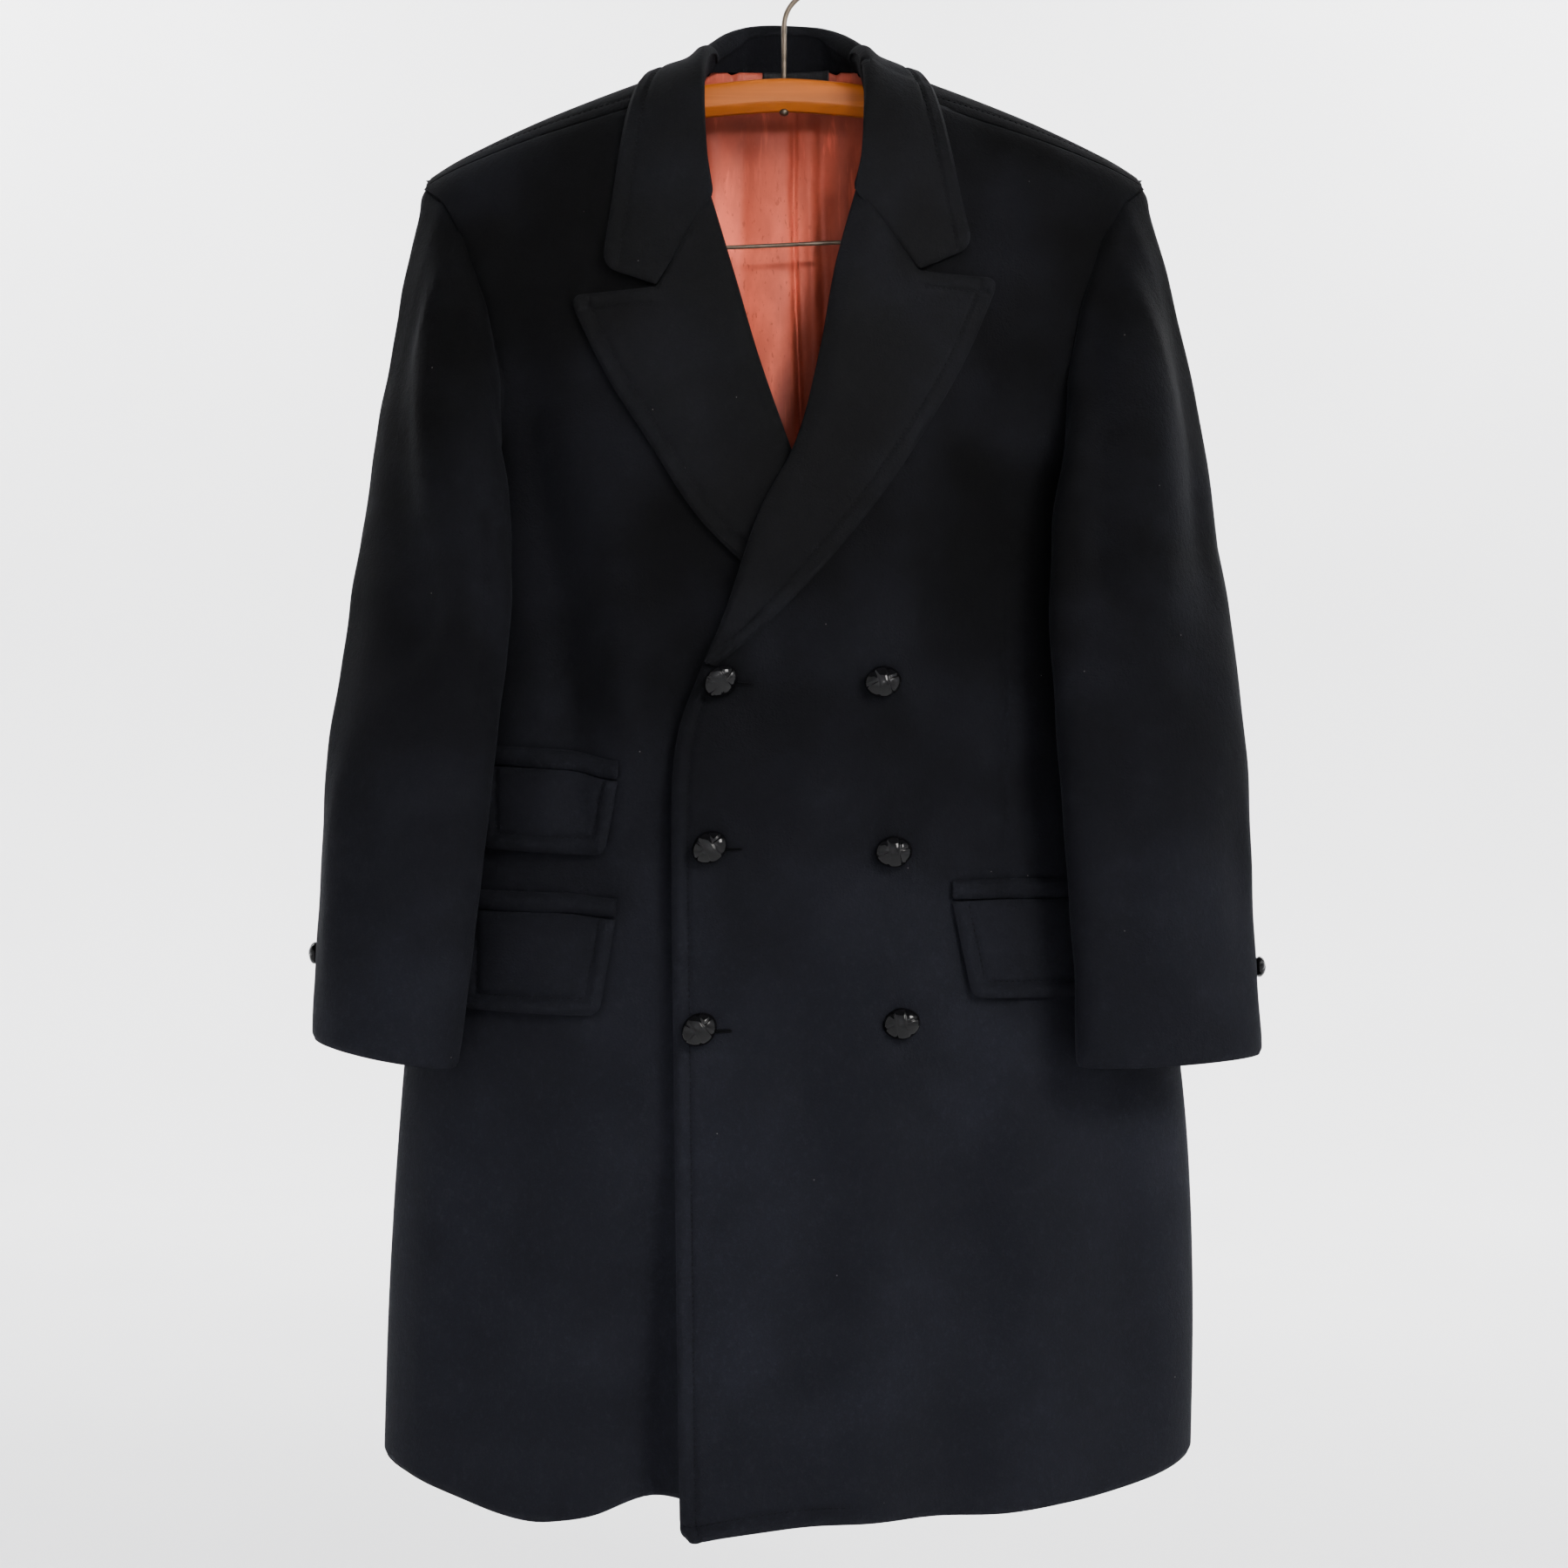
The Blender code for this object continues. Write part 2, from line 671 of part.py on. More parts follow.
def make_collar_fall():
    """The collar's leaf, from the fold at the neck to its outer edge."""
    stations = collar_rows()
    along = 36
    across = 6
    columns = []
    for step in range(along + 1):
        place = step / along * (len(stations) - 1)
        station = Vector(read_row(stations, place))
        fold = station[0:3]
        middle = station[3:6]
        edge = station[6:9]
        column = []
        for index in range(across + 1):
            share = 2 * index / across
            if share <= 1:
                point = [mix(a, b, share) for a, b in zip(fold, middle)]
            else:
                point = [mix(a, b, share - 1) for a, b in zip(middle, edge)]
            column.append(at(*clear_of_body(*point, COLLAR_LIFT)))
        columns.append(column)
    rows = [list(row) for row in zip(*columns)]
    add_wall("collar_fall", rows, CLOTH, "overcoat_cloth")


def make_collar_stand():
    """The stand, a band inside the collar's fold round the back of the neck."""
    mirrored = [row._replace(top_x=-row.top_x, seam_x=-row.seam_x) for row in STAND]
    stations = list(reversed(STAND)) + mirrored[1:]
    along = 18
    across = 3
    columns = []
    for step in range(along + 1):
        place = step / along * (len(stations) - 1)
        station = Vector(read_row(stations, place))
        top = Vector(station[0:3])
        seam = Vector(station[3:6])
        columns.append([at(*top.lerp(seam, index / across)) for index in range(across + 1)])
    rows = [list(row) for row in zip(*columns)]
    add_wall("collar_stand", rows, CLOTH, "overcoat_cloth")


def make_pocket(flap):
    """A pocket's welt and, below it, its flap, both laid on the front."""
    panel = front_panel(flap.side)
    columns = 8

    def patch(name, high, start, slant, out, thickness):
        rows = []
        down_rows = 4
        for step in range(down_rows + 1):
            down = high * step / down_rows
            row = []
            for index in range(columns + 1):
                along = mix(slant * down / high, flap.wide, index / columns)
                x = flap.side * (flap.x + along)
                drop = flap.drop + start + down - flap.slope * along
                row.append(at(x, skin(panel, x, drop, FRONT, out + thickness), drop))
            rows.append(row)
        add_wall(name, turned(rows, flap.side), thickness, "overcoat_cloth")

    gap = PATCH_GAP
    patch("pocket_welt_" + flap.name, WELT_HIGH, 0, 0, gap, WELT_THICK)
    patch("pocket_flap_" + flap.name, flap.high, WELT_HIGH + gap, flap.slant, gap, FLAP_THICK)


def make_button(name, middle, axis, radius, height):
    """A domed button: a round dome on its axis, flatter behind."""
    bm = bmesh.new()
    bmesh.ops.create_uvsphere(bm, u_segments=BUTTON_SEGMENTS, v_segments=BUTTON_RINGS, radius=1.0)
    spin = Vector((0, 0, 1)).rotation_difference(axis).to_matrix()
    for vert in bm.verts:
        shape = Vector((vert.co.x * radius, vert.co.y * radius, vert.co.z * height / 2)) * MM
        vert.co = middle + spin @ shape
    mesh = bpy.data.meshes.new(name)
    bm.to_mesh(mesh)
    bm.free()
    mesh.shade_smooth()
    add_object(name, mesh, "button_gloss")


def make_buttons():
    """The six front buttons on the over front, and one on the edge of each cuff."""
    for row in FRONT_BUTTONS:
        y = skin("front_left", row.x, row.drop, FRONT, SEAM * 2 + BUTTON_HEIGHT / 2)
        middle = at(row.x, y, row.drop)
        make_button("button_" + row.name, middle, Vector((0, -1, 0)), BUTTON_RADIUS, BUTTON_HEIGHT)
    for side, drop in CUFF_BUTTON_DROPS.items():
        edge = sleeve_section(side, drop, 0)
        middle = at(edge.x + side * (SEAM * 2 + CUFF_BUTTON_HEIGHT / 2), edge.y, drop)
        make_button("cuff_button_" + SIDE_NAMES[side], middle, Vector((side, 0, 0)),
                    CUFF_BUTTON_RADIUS, CUFF_BUTTON_HEIGHT)


def lining_reach(drop):
    """Half the lining's width: inside the armhole above, just short of the side seams below."""
    if drop < UNDERARM:
        return read(ARMHOLE, "drop", "back", max(drop, ARMHOLE[0].drop)) - 14
    return mix(198, 0.94 * half_width(drop, RIGHT), ease((drop - UNDERARM) / 120))


def lining_y(x, drop):
    """The lining's side that faces the back, close to the back at the neck and looser below."""
    gap = mix(LINING_TOP_GAP, LINING_GAP, ease((drop - LINING_NECK) / LINING_GAP_REACH))
    return skin("back", x, drop, BACK, -(CLOTH + gap))


def make_lining():
    """The back lining, hung just inside the back from the neck nearly to the hem."""
    across = 16
    down = 16
    rows = []
    for step in range(down + 1):
        row = []
        for index in range(across + 1):
            share = 1 - 2 * index / across
            top_x = share * lining_reach(0)
            below = mix(LINING_NECK_RISE, LINING_SHOULDER, ease((abs(top_x) - NECK_HALF / 2) / NECK_HALF))
            top = max(ridge(top_x) + below, LINING_NECK)
            drop = mix(top, SIDE_HEM - LINING_RISE, (step / down) ** LINING_ROW_EASE)
            x = share * lining_reach(drop)
            row.append(at(x, lining_y(x, drop), drop))
        rows.append(row)
    add_wall("back_lining", rows, LINING_CLOTH, "lining_satin")


def make_label():
    """A bare label on the lining at the back of the neck."""
    across = 4
    down = 3
    rows = []
    for step in range(down + 1):
        drop = LINING_NECK + 1 + LABEL_HIGH * step / down
        row = []
        for index in range(across + 1):
            x = LABEL_X + LABEL_WIDE * (0.5 - index / across)
            row.append(at(x, lining_y(x, drop) - LINING_CLOTH - LABEL_GAP, drop))
        rows.append(row)
    add_wall("neck_label", rows, LABEL_THICK, "label_cloth")


def hanger_top(x):
    """The bar's top line: level at the hook, then just under the shoulders' inner side."""
    saddle = ridge(x) + CLOTH + HANGER_SEAT
    return mix(HANGER_TOP, saddle, ease((abs(x) - 20) / (HANGER_SADDLE - 20)))


def hanger_high(x):
    return mix(HANGER_HIGH, HANGER_TIP_HIGH, (abs(x) / HANGER_HALF) ** 2)


def make_hanger_bar():
    """The wooden bar, a bowed arm of rounded section with blunt tips."""
    bm = bmesh.new()
    ring_size = 12
    rings = []
    for step in range(HANGER_STATIONS + 1):
        x = HANGER_HALF * (2 * step / HANGER_STATIONS - 1)
        high = hanger_high(x)
        middle = hanger_top(x) + high / 2
        ring = []
        for index in range(ring_size):
            angle = 2 * math.pi * (index + 0.5) / ring_size
            limit = math.cos(math.pi / ring_size) ** HANGER_SQUARE
            deep = math.copysign(abs(math.cos(angle)) ** HANGER_SQUARE, math.cos(angle)) / limit
            rise = math.copysign(abs(math.sin(angle)) ** HANGER_SQUARE, math.sin(angle)) / limit
            ring.append(bm.verts.new(at(x, HANGER_DEEP / 2 * deep, middle - high / 2 * rise)))
        rings.append(ring)
    for first, second in zip(rings, rings[1:]):
        for index in range(ring_size):
            after = (index + 1) % ring_size
            bm.faces.new((first[index], first[after], second[after], second[index]))
    bm.faces.new(list(reversed(rings[0])))
    bm.faces.new(rings[-1])
    bmesh.ops.recalc_face_normals(bm, faces=bm.faces)
    mesh = bpy.data.meshes.new("hanger_bar")
    bm.to_mesh(mesh)
    bm.free()
    mesh.shade_smooth()
    add_object("hanger_bar", mesh, "hanger_wood")


def make_wire(name, points, radius):
    """A round wire along a line of points."""
    curve = bpy.data.curves.new(name, "CURVE")
    curve.dimensions = "3D"
    curve.bevel_depth = radius * MM
    curve.bevel_resolution = 2
    curve.use_fill_caps = True
    spline = curve.splines.new("POLY")
    spline.points.add(len(points) - 1)
    for slot, point in zip(spline.points, points):
        slot.co = (*point, 1)
    add_object(name, curve, "hanger_wire")


def hook_points():
    """The hook's centre line: the stem from the bar, a small jog, then round over the rail."""
    centre = -(HOOK_RADIUS - WIRE_RADIUS)
    stem_foot = NECK_LEVEL - HANGER_TOP + SEAM * 2
    points = [Vector((0, 0, stem_foot)) * MM]
    low = centre - HOOK_RADIUS
    points.append(Vector((0, 0, low - 14)) * MM)
    points.append(Vector((0.8, 0, low - 6)) * MM)
    for step in range(HOOK_STEPS + 1):
        angle = mix(HOOK_START, HOOK_END, step / HOOK_STEPS)
        points.append(Vector((HOOK_RADIUS * math.cos(angle), 0, centre + HOOK_RADIUS * math.sin(angle))) * MM)
    return points


def trouser_wire_points():
    """The trouser wire: down from one arm, across with a slight sag, and up to the other arm."""
    half = TROUSER_WIRE_HALF
    seat = hanger_top(half) + hanger_high(half) + SEAM * 2
    points = [(-half, seat)]
    bend_steps = 5
    for step in range(bend_steps + 1):
        angle = math.pi / 2 * step / bend_steps
        points.append((-half + TROUSER_WIRE_BEND * (1 - math.cos(angle)),
                       TROUSER_WIRE_DROP - TROUSER_WIRE_BEND * (1 - math.sin(angle))))
    points.append((0, TROUSER_WIRE_DROP + TROUSER_WIRE_SAG))
    points += [(-x, drop) for x, drop in reversed(points[:-1])]
    return [at(x, 0, drop) for x, drop in points]


def make_hanger():
    make_hanger_bar()
    make_wire("hanger_hook", hook_points(), WIRE_RADIUS)
    make_wire("trouser_wire", trouser_wire_points(), TROUSER_WIRE_RADIUS)
    bm = bmesh.new()
    bmesh.ops.create_uvsphere(bm, u_segments=10, v_segments=6, radius=NUT_RADIUS * MM)
    foot = HANGER_TOP + HANGER_HIGH + SEAM * 2 + NUT_RADIUS
    bmesh.ops.translate(bm, verts=bm.verts, vec=at(0, 0, foot))
    mesh = bpy.data.meshes.new("hook_nut")
    bm.to_mesh(mesh)
    bm.free()
    mesh.shade_smooth()
    add_object("hook_nut", mesh, "hanger_wire")


def main():
    for old in list(bpy.data.objects):
        bpy.data.objects.remove(old, do_unlink=True)
    collection = bpy.data.collections.new("double_breasted_coat")
    bpy.context.scene.collection.children.link(collection)
    make_hanger()
    make_back()
    make_lining()
    make_label()
    for side in (RIGHT, LEFT):
        make_front(side)
        make_sleeve(side)
        make_lapel(side)
    make_collar_fall()
    make_collar_stand()
    for flap in FLAPS:
        make_pocket(flap)
    make_buttons()


main()
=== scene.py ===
"""The looks of a double-breasted overcoat hanging on a wooden hanger.

Laid out as a Blender add-on and run as a script. Every piece of cloth is a thin shell bent over
the same forms as the part's solids, with its creases, rolled edges and stitching. Sizes in the
tables are in millimetres: x runs to the wearer's left, y runs from the coat's front to its back,
and drop is the distance below the back neck level.
"""

import math
from collections import namedtuple

import bmesh
import bpy
import numpy as np
from bpy.props import FloatProperty, FloatVectorProperty, PointerProperty
from mathutils import Matrix, Vector


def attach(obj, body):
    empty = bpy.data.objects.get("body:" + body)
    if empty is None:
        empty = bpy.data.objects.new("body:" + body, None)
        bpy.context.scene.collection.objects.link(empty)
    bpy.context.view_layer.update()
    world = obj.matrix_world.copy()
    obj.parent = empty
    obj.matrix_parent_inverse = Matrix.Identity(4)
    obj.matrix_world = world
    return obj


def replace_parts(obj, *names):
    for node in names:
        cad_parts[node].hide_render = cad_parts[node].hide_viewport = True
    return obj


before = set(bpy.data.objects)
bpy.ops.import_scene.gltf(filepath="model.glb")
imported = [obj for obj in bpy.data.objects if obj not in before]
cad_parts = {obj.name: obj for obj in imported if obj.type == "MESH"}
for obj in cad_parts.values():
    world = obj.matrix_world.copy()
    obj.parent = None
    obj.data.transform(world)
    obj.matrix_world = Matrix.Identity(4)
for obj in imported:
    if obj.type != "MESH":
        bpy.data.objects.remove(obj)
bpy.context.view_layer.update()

bl_info = {
    "name": "Double-breasted overcoat",
    "version": (1, 0, 0),
    "blender": (4, 5, 0),
    "location": "View3D > Sidebar > Overcoat",
    "description": "Dresses the solids of an overcoat on its hanger in cloth, lining, wood and wire",
    "category": "Object",
}

MM = 0.001

# Walls and seams
CLOTH = 2.4
LINING_CLOTH = 1.0
SEAM = 0.3

# Levels
NECK_LEVEL = -91.8
SIDE_HEM = 955.0
FRONT_HEM_DIP = 17.0
UNDERARM = 292.0

# Sides of the coat
FRONT = -1
BACK = 1
RIGHT = -1
LEFT = 1
SIDE_NAMES = {RIGHT: "right", LEFT: "left"}

# Shoulders
NECK_HALF = 58.0
SHOULDER_ROUND = 90.0
SHOULDER_SEAM_TURN = math.radians(48.0)
SHOULDER_END_TURN = math.radians(24.0)
BACK_NECK_TURN = math.radians(36.0)
NECK_CORNER = 8
SHOULDER_END = 245.0

# The over front lies this far outside the under front where the two lap
LAP = 10.0
LAP_FULL_X = 45.0
LAP_END_X = 140.0

# The body's half widths and depths, from the neck to the hem
BodyRow = namedtuple("BodyRow", "drop right left front back")
BODY = (
    BodyRow(-60, 330, 330, 54, 44),
    BodyRow(60, 315, 315, 62, 46),
    BodyRow(160, 264, 264, 70, 50),
    BodyRow(230, 230, 230, 74, 52),
    BodyRow(UNDERARM, 212, 212, 77, 54),
    BodyRow(372, 226, 228, 80, 55),
    BodyRow(464, 240, 243, 82, 56),
    BodyRow(556, 250, 255, 84, 57),
    BodyRow(700, 263, 275, 88, 59),
    BodyRow(823, 271, 281, 93, 62),
    BodyRow(980, 276, 279, 98, 66),
)

# The shoulder's top line, from the middle of the neck outwards
RidgeRow = namedtuple("RidgeRow", "reach drop")
RIDGE = (
    RidgeRow(0, -25),
    RidgeRow(NECK_HALF, -8),
    RidgeRow(99, 6),
    RidgeRow(164, 31),
    RidgeRow(216, 55),
    RidgeRow(237, 67),
    RidgeRow(270, 90),
)

# The armhole, from the shoulder point to the underarm: distance from the middle, front and back
ArmholeRow = namedtuple("ArmholeRow", "drop front back")
ARMHOLE = (
    ArmholeRow(80, SHOULDER_END, SHOULDER_END),
    ArmholeRow(95, 229, 237),
    ArmholeRow(122, 214, 224),
    ArmholeRow(166, 199, 210),
    ArmholeRow(216, 190, 202),
    ArmholeRow(256, 192, 202),
    ArmholeRow(281, 201, 206),
    ArmholeRow(UNDERARM, 212, 212),
)

# The inner edge of each front: the roll line down to the break, then the front edge to the hem
EdgeRow = namedtuple("EdgeRow", "drop left right")
FRONT_EDGE = (
    EdgeRow(-10, 58, -58),
    EdgeRow(40, 55, -55),
    EdgeRow(100, 48, -50),
    EdgeRow(143, 34.5, -35),
    EdgeRow(205, 23, -17),
    EdgeRow(263, 8, 3),
    EdgeRow(312, -17, 22),
    EdgeRow(374, -38, 42),
    EdgeRow(412, -54, 58),
    EdgeRow(450, -68, 68),
    EdgeRow(490, -73, 73),
    EdgeRow(713, -71, 73),
    EdgeRow(980, -67, 71),
)

# The largest folds: troughs (inwards) and swells (outwards) that deepen towards the hem
FoldRow = namedtuple("FoldRow", "panel x spread out starts full")
FOLDS = (
    FoldRow("front_right", -84, 24, -24, 620, 960),
    FoldRow("front_right", -140, 36, 6, 560, 960),
    FoldRow("front_right", -215, 26, -5, 640, 960),
    FoldRow("front_left", -40, 34, 4, 560, 960),
    FoldRow("front_left", 104, 34, -9, 480, 960),
    FoldRow("front_left", 178, 34, 5, 560, 960),
    FoldRow("back", -150, 38, 7, 420, 950),
    FoldRow("back", -70, 32, -10, 380, 950),
    FoldRow("back", 30, 40, 6, 420, 950),
    FoldRow("back", 118, 34, -9, 380, 950),
)

# Each sleeve below the underarm: its middle, half width, half depth and turn from the side seam
SleeveRow = namedtuple("SleeveRow", "drop x y wide deep turn")
SLEEVES = {
    RIGHT: (
        SleeveRow(328, -231.5, -52, 60, 30, 31),
        SleeveRow(372, -234, -58, 62, 31, 30),
        SleeveRow(464, -244.5, -63, 62.5, 32, 27),
        SleeveRow(556, -253.5, -67, 60, 32, 25),
        SleeveRow(666, -262, -71, 53, 31, 22),
    ),
    LEFT: (
        SleeveRow(328, 234, -52, 65, 30, 28),
        SleeveRow(372, 236.5, -58, 69, 31, 25),
        SleeveRow(464, 242.5, -67, 68, 32, 20),
        SleeveRow(556, 246.5, -75, 64.5, 32, 17),
        SleeveRow(672, 252, -79, 64, 31, 14),
    ),
}
SLEEVE_TOP_TURN = 15.0
SLEEVE_UNDERARM_TURN = 270.0
SLEEVE_FRONT_EASE = 1.6
SLEEVE_UNDERARM_ROOM = 2.5
SLEEVE_ROOM_FROM = 0.6
FOREARM_SEAM = 205.0
HINDARM_SEAM = 335.0
SLEEVE_SEAM_TURN = 0.5

# The lapels: roll line, middle of the leaf and outer edge; the first row is the gorge and the peak
LapelRow = namedtuple("LapelRow", "roll_x roll_drop mid_x mid_drop edge_x edge_drop")
LAPELS = {
    LEFT: (
        LapelRow(47, 97, 89, 151.5, 143, 153),
        LapelRow(34.5, 143, 77, 180, 121, 206),
        LapelRow(23, 205, 60, 228, 97, 249),
        LapelRow(8, 263, 37, 281, 66, 296),
        LapelRow(-17, 312, 7, 329, 30, 341),
        LapelRow(-38, 374, -24, 380, -10, 383),
        LapelRow(-52, 408, -48, 410, -44, 411),
    ),
    RIGHT: (
        LapelRow(-48, 99, -84, 160.5, -143, 164),
        LapelRow(-35, 143, -77, 188, -119, 215),
        LapelRow(-17, 205, -54, 236, -92, 258),
        LapelRow(3, 263, -27, 293, -57, 312),
        LapelRow(22, 312, 0, 336, -20, 350),
        LapelRow(42, 374, 30, 384, 17, 388),
        LapelRow(56, 408, 51, 411, 47, 412),
    ),
}
LAPEL_ROLL = 4.5
LAPEL_ROLL_AT = 0.14
LAPEL_ROLL_SPREAD = 0.2

# The collar from the centre back to its front end: the fold, the leaf's middle and its outer edge
CollarRow = namedtuple("CollarRow", "fold_x fold_y fold_drop mid_x mid_y mid_drop edge_x edge_y edge_drop")
COLLAR_BACK = (
    CollarRow(0, 38, -47, 0, 52, -12, 0, 56, 26),
    CollarRow(31, 33, -45, 44, 47, -12, 64, 50, 24),
    CollarRow(48, 16, -31, 66, 24, -13, 86, 26, 8),
    CollarRow(56, -6, -8, 73, -4, -8, 91, -4, -1.5),
    CollarRow(57, -30, 30, 79, -36, 33, 103, -34, 40.5),
)
COLLAR_ENDS = {
    LEFT: (
        CollarRow(53, -46, 70, 84, -55.5, 89, 115, -53, 91),
        CollarRow(47, -53, 100, 89, -60, 150.5, 125, -54, 133),
    ),
    RIGHT: (
        CollarRow(53, -46, 68, 82, -55.5, 94, 113, -53, 98),
        CollarRow(48, -53, 102, 84, -60, 159.5, 120.5, -54, 146),
    ),
}
COLLAR_LIFT = 5.5
COLLAR_FRONT_FROM = 12.0

# Pockets: inner end, top of the welt, slope along it, the flap's sizes and the sag of the inner end
FlapRow = namedtuple("FlapRow", "name side x drop slope wide high slant sag")
FLAPS = (
    FlapRow("ticket", RIGHT, 109, 466, 0.05, 92, 54, 9, 6),
    FlapRow("right", RIGHT, 110, 559, 0.02, 104, 65, 11, 3),
    FlapRow("left", LEFT, 110, 549, 0.0, 104, 63, 13, 1),
)
PatchRow = namedtuple("PatchRow", "prefix high start slant thick lift corner")
POCKET_SAG_REACH = 36.0
PATCH_GAP = 1.2
PATCH_BOW = 1.2
PATCH_STEPS = (2.4, 1.8)
PATCH_TOP_CLOSE = 2.5
PATCH_CLOSE = 15.0
PATCH_CLOSE_PART = 2.4
PATCH_WAVE = 0.5
PATCH_WAVE_SCALE = 2.2
PATCH_FREE = 12.0
WELT_HIGH = 12.5
WELT_THICK = 2.6
WELT_CORNER = 2.5
WELT_ROLL = 0.9
WELT_SWELL = 0.9
FLAP_THICK = 3.2
FLAP_LIFT = 2.6
FLAP_CORNER = 7.0
FLAP_TOP_ROLL = 0.5

# Buttons: place, turn about the button's own axis, and the way it faces
ButtonRow = namedtuple("ButtonRow", "name x drop spin axis")
FRONT_BUTTONS = (
    ButtonRow("edge_top", -40.5, 421, 1.05, (0.34, -1, -0.3)),
    ButtonRow("edge_middle", -48, 528, 0.5, (-0.1, -1, 0.12)),
    ButtonRow("edge_bottom", -54.5, 645, 0.75, (0.12, -1, 0.1)),
    ButtonRow("show_top", 64, 421, 0.3, (0.1, -1, 0.16)),
    ButtonRow("show_middle", 71, 531, 0.2, (0.1, -1, 0.08)),
    ButtonRow("show_bottom", 76, 642, 0.12, (-0.06, -1, 0.1)),
)
BUTTON_RADIUS = 11.0
BUTTON_HEIGHT = 11.0
BUTTON_SINK = 0.4
CUFF_BUTTON_DROPS = {RIGHT: 600.0, LEFT: 608.0}
CUFF_BUTTON_RADIUS = 7.0
CUFF_BUTTON_HEIGHT = 8.0
CUFF_BUTTON_SINK = 0.3
CUFF_BUTTON_SPIN = 0.7
CUFF_BUTTON_LEAN = -0.1

# The buttons' moulded knot, in shares of the radius: a strap down the middle, over one at each side
KNOT_LONG = 1.1
KNOT_LINE = 0.06
KNOT_DEPTH = 0.075
KNOT_CROWN = 0.06
KNOT_STRAP = 0.3
KNOT_FLARE = 0.16
KNOT_SLANT = 0.28
KNOT_SHIFT = 0.04
KNOT_FRONT = 4.0

# Buttonholes
BUTTONHOLE_LONG = 24.0
BUTTONHOLE_WIDE = 1.7
BUTTONHOLE_SHIFT = 8.0
BUTTONHOLE_LOWER = 1.5
BUTTONHOLE_SQUARE = 1.6
BUTTONHOLE_END = 0.6
BUTTONHOLE_RISE = 0.5
BUTTONHOLE_BEAD = 0.6

# Lining and label
LINING_GAP = 3.0
LINING_TOP_GAP = 1.5
LINING_GAP_REACH = 60.0
LINING_RISE = 30.0
LINING_SHOULDER = 42.0
LINING_NECK = -3.0
LABEL_WIDE = 46.0
LABEL_HIGH = 15.0
LABEL_X = 8.0
LABEL_THICK = 0.6
LABEL_GAP = 1.0
LABEL_LOWER = 1.0
LABEL_WAVE = 0.25

# The hanger's bar
HANGER_HALF = 206.0
HANGER_TOP = 2.0
HANGER_ARCH = 1.5
HANGER_SEAT = 2.2
HANGER_SADDLE_FROM = 60.0
HANGER_SADDLE = 112.0
HANGER_HIGH = 21.8
HANGER_TIP_HIGH = 15.0
HANGER_TIP = 6.0
HANGER_TIP_SHARE = 0.15
HANGER_DEEP = 13.0
HANGER_FLAT = 0.5
HANGER_BEVEL_AT = 0.55
HANGER_BEVEL = 0.8
HANGER_SHARP = math.radians(25.0)

# The hanger's wires
WIRE_RADIUS = 1.8
HOOK_RADIUS = 22.0
HOOK_SINK = 1.0
HOOK_STEM = 30.0
HOOK_BEND_STEPS = 16
HOOK_STEPS = 60
HOOK_BEND_FROM = 16.0
HOOK_BEND_RISE = 4.0
HOOK_EASE = 6.0
HOOK_JOIN = math.radians(-25.0)
HOOK_END = math.radians(205.0)
NUT_RADIUS = 3.2
NUT_FLAT = 0.8
NUT_LOWER = 0.3
TROUSER_WIRE_RADIUS = 1.4
TROUSER_WIRE_HALF = 166.0
TROUSER_WIRE_SEAT = 2.0
TROUSER_WIRE_DROP = 114.5
TROUSER_WIRE_SAG = 1.5
TROUSER_WIRE_TILT = 0.05
TROUSER_WIRE_BEND = 12.0

# The hem: where the fronts' dip begins and how far it takes, and the curve up to the side seams
FRONT_HEM_FROM = 190.0
FRONT_HEM_REACH = 250.0
RIGHT_HEM_LOWER = 2.0
HEM_CURVE = 90.0
HEM_RISE = 13.0

# The fronts' edges: the level of the break, the stitched part of the left hem, and the corners
BREAK_DROP = 404.0
BREAK_BLEND = 16.0
HEM_SWELL_END = 70.0
HEM_SWELL_FADE = 30.0
HEM_STITCH_END = 42.0
FRONT_CORNER = 14.0
LAPEL_CORNER = 10.0
COLLAR_CORNER = 11.0

# How far the hem of each front hangs below its plain curve, from the wearer's right to the left
HemRow = namedtuple("HemRow", "x sag")
FRONT_HEM_SAGS = {
    RIGHT: (
        HemRow(-256, 0.5),
        HemRow(-224, 4),
        HemRow(-184, 10),
        HemRow(-164, 11),
        HemRow(-143, 8),
        HemRow(-123, 4),
        HemRow(-103, -1),
        HemRow(-83, -3),
        HemRow(70, -3),
    ),
    LEFT: (
        HemRow(-63, 3),
        HemRow(-42, -2),
        HemRow(-12, -4.5),
        HemRow(18, -5),
        HemRow(48, -3),
        HemRow(79, 0),
        HemRow(119, 5),
        HemRow(139, 6),
        HemRow(160, 5),
        HemRow(185, 3),
        HemRow(220, 1),
        HemRow(262, 0.5),
    ),
}

# The sleeves at the armhole, along their own seams and at the cuffs
SLEEVE_HEAD_TUCK = 1.4
SLEEVE_ALLOWANCE = 6.0
SLEEVE_ALLOWANCE_ROWS = (-1.0, -0.5)
SLEEVE_LAP = 3.0
ARMHOLE_LAP = 0.8
HEAD_ROLL = 0.8
HEAD_SWELL = 1.3
HEAD_SWELL_AT = 9.0
HEAD_SWELL_WIDE = 7.0
HEAD_HELD = 40.0
CUFF_HELD = 30.0
CUFF_LOOSE = 0.4
CUFF_DIPS = {RIGHT: 5.0, LEFT: -2.0}
CUFF_RISES = {RIGHT: 11.5, LEFT: 8.0}

# An edge that is tucked under another at a seam sinks, and the other rolls slightly
SEAM_TUCK = 3.0
SEAM_SINK = 1.8
SEAM_ROLL = 0.4
BACK_SEAM_ROLL = 0.6
SHOULDER_ROLL = 0.15
SHOULDER_GROOVE = 0.4
SHOULDER_STITCH_FROM = 66.0

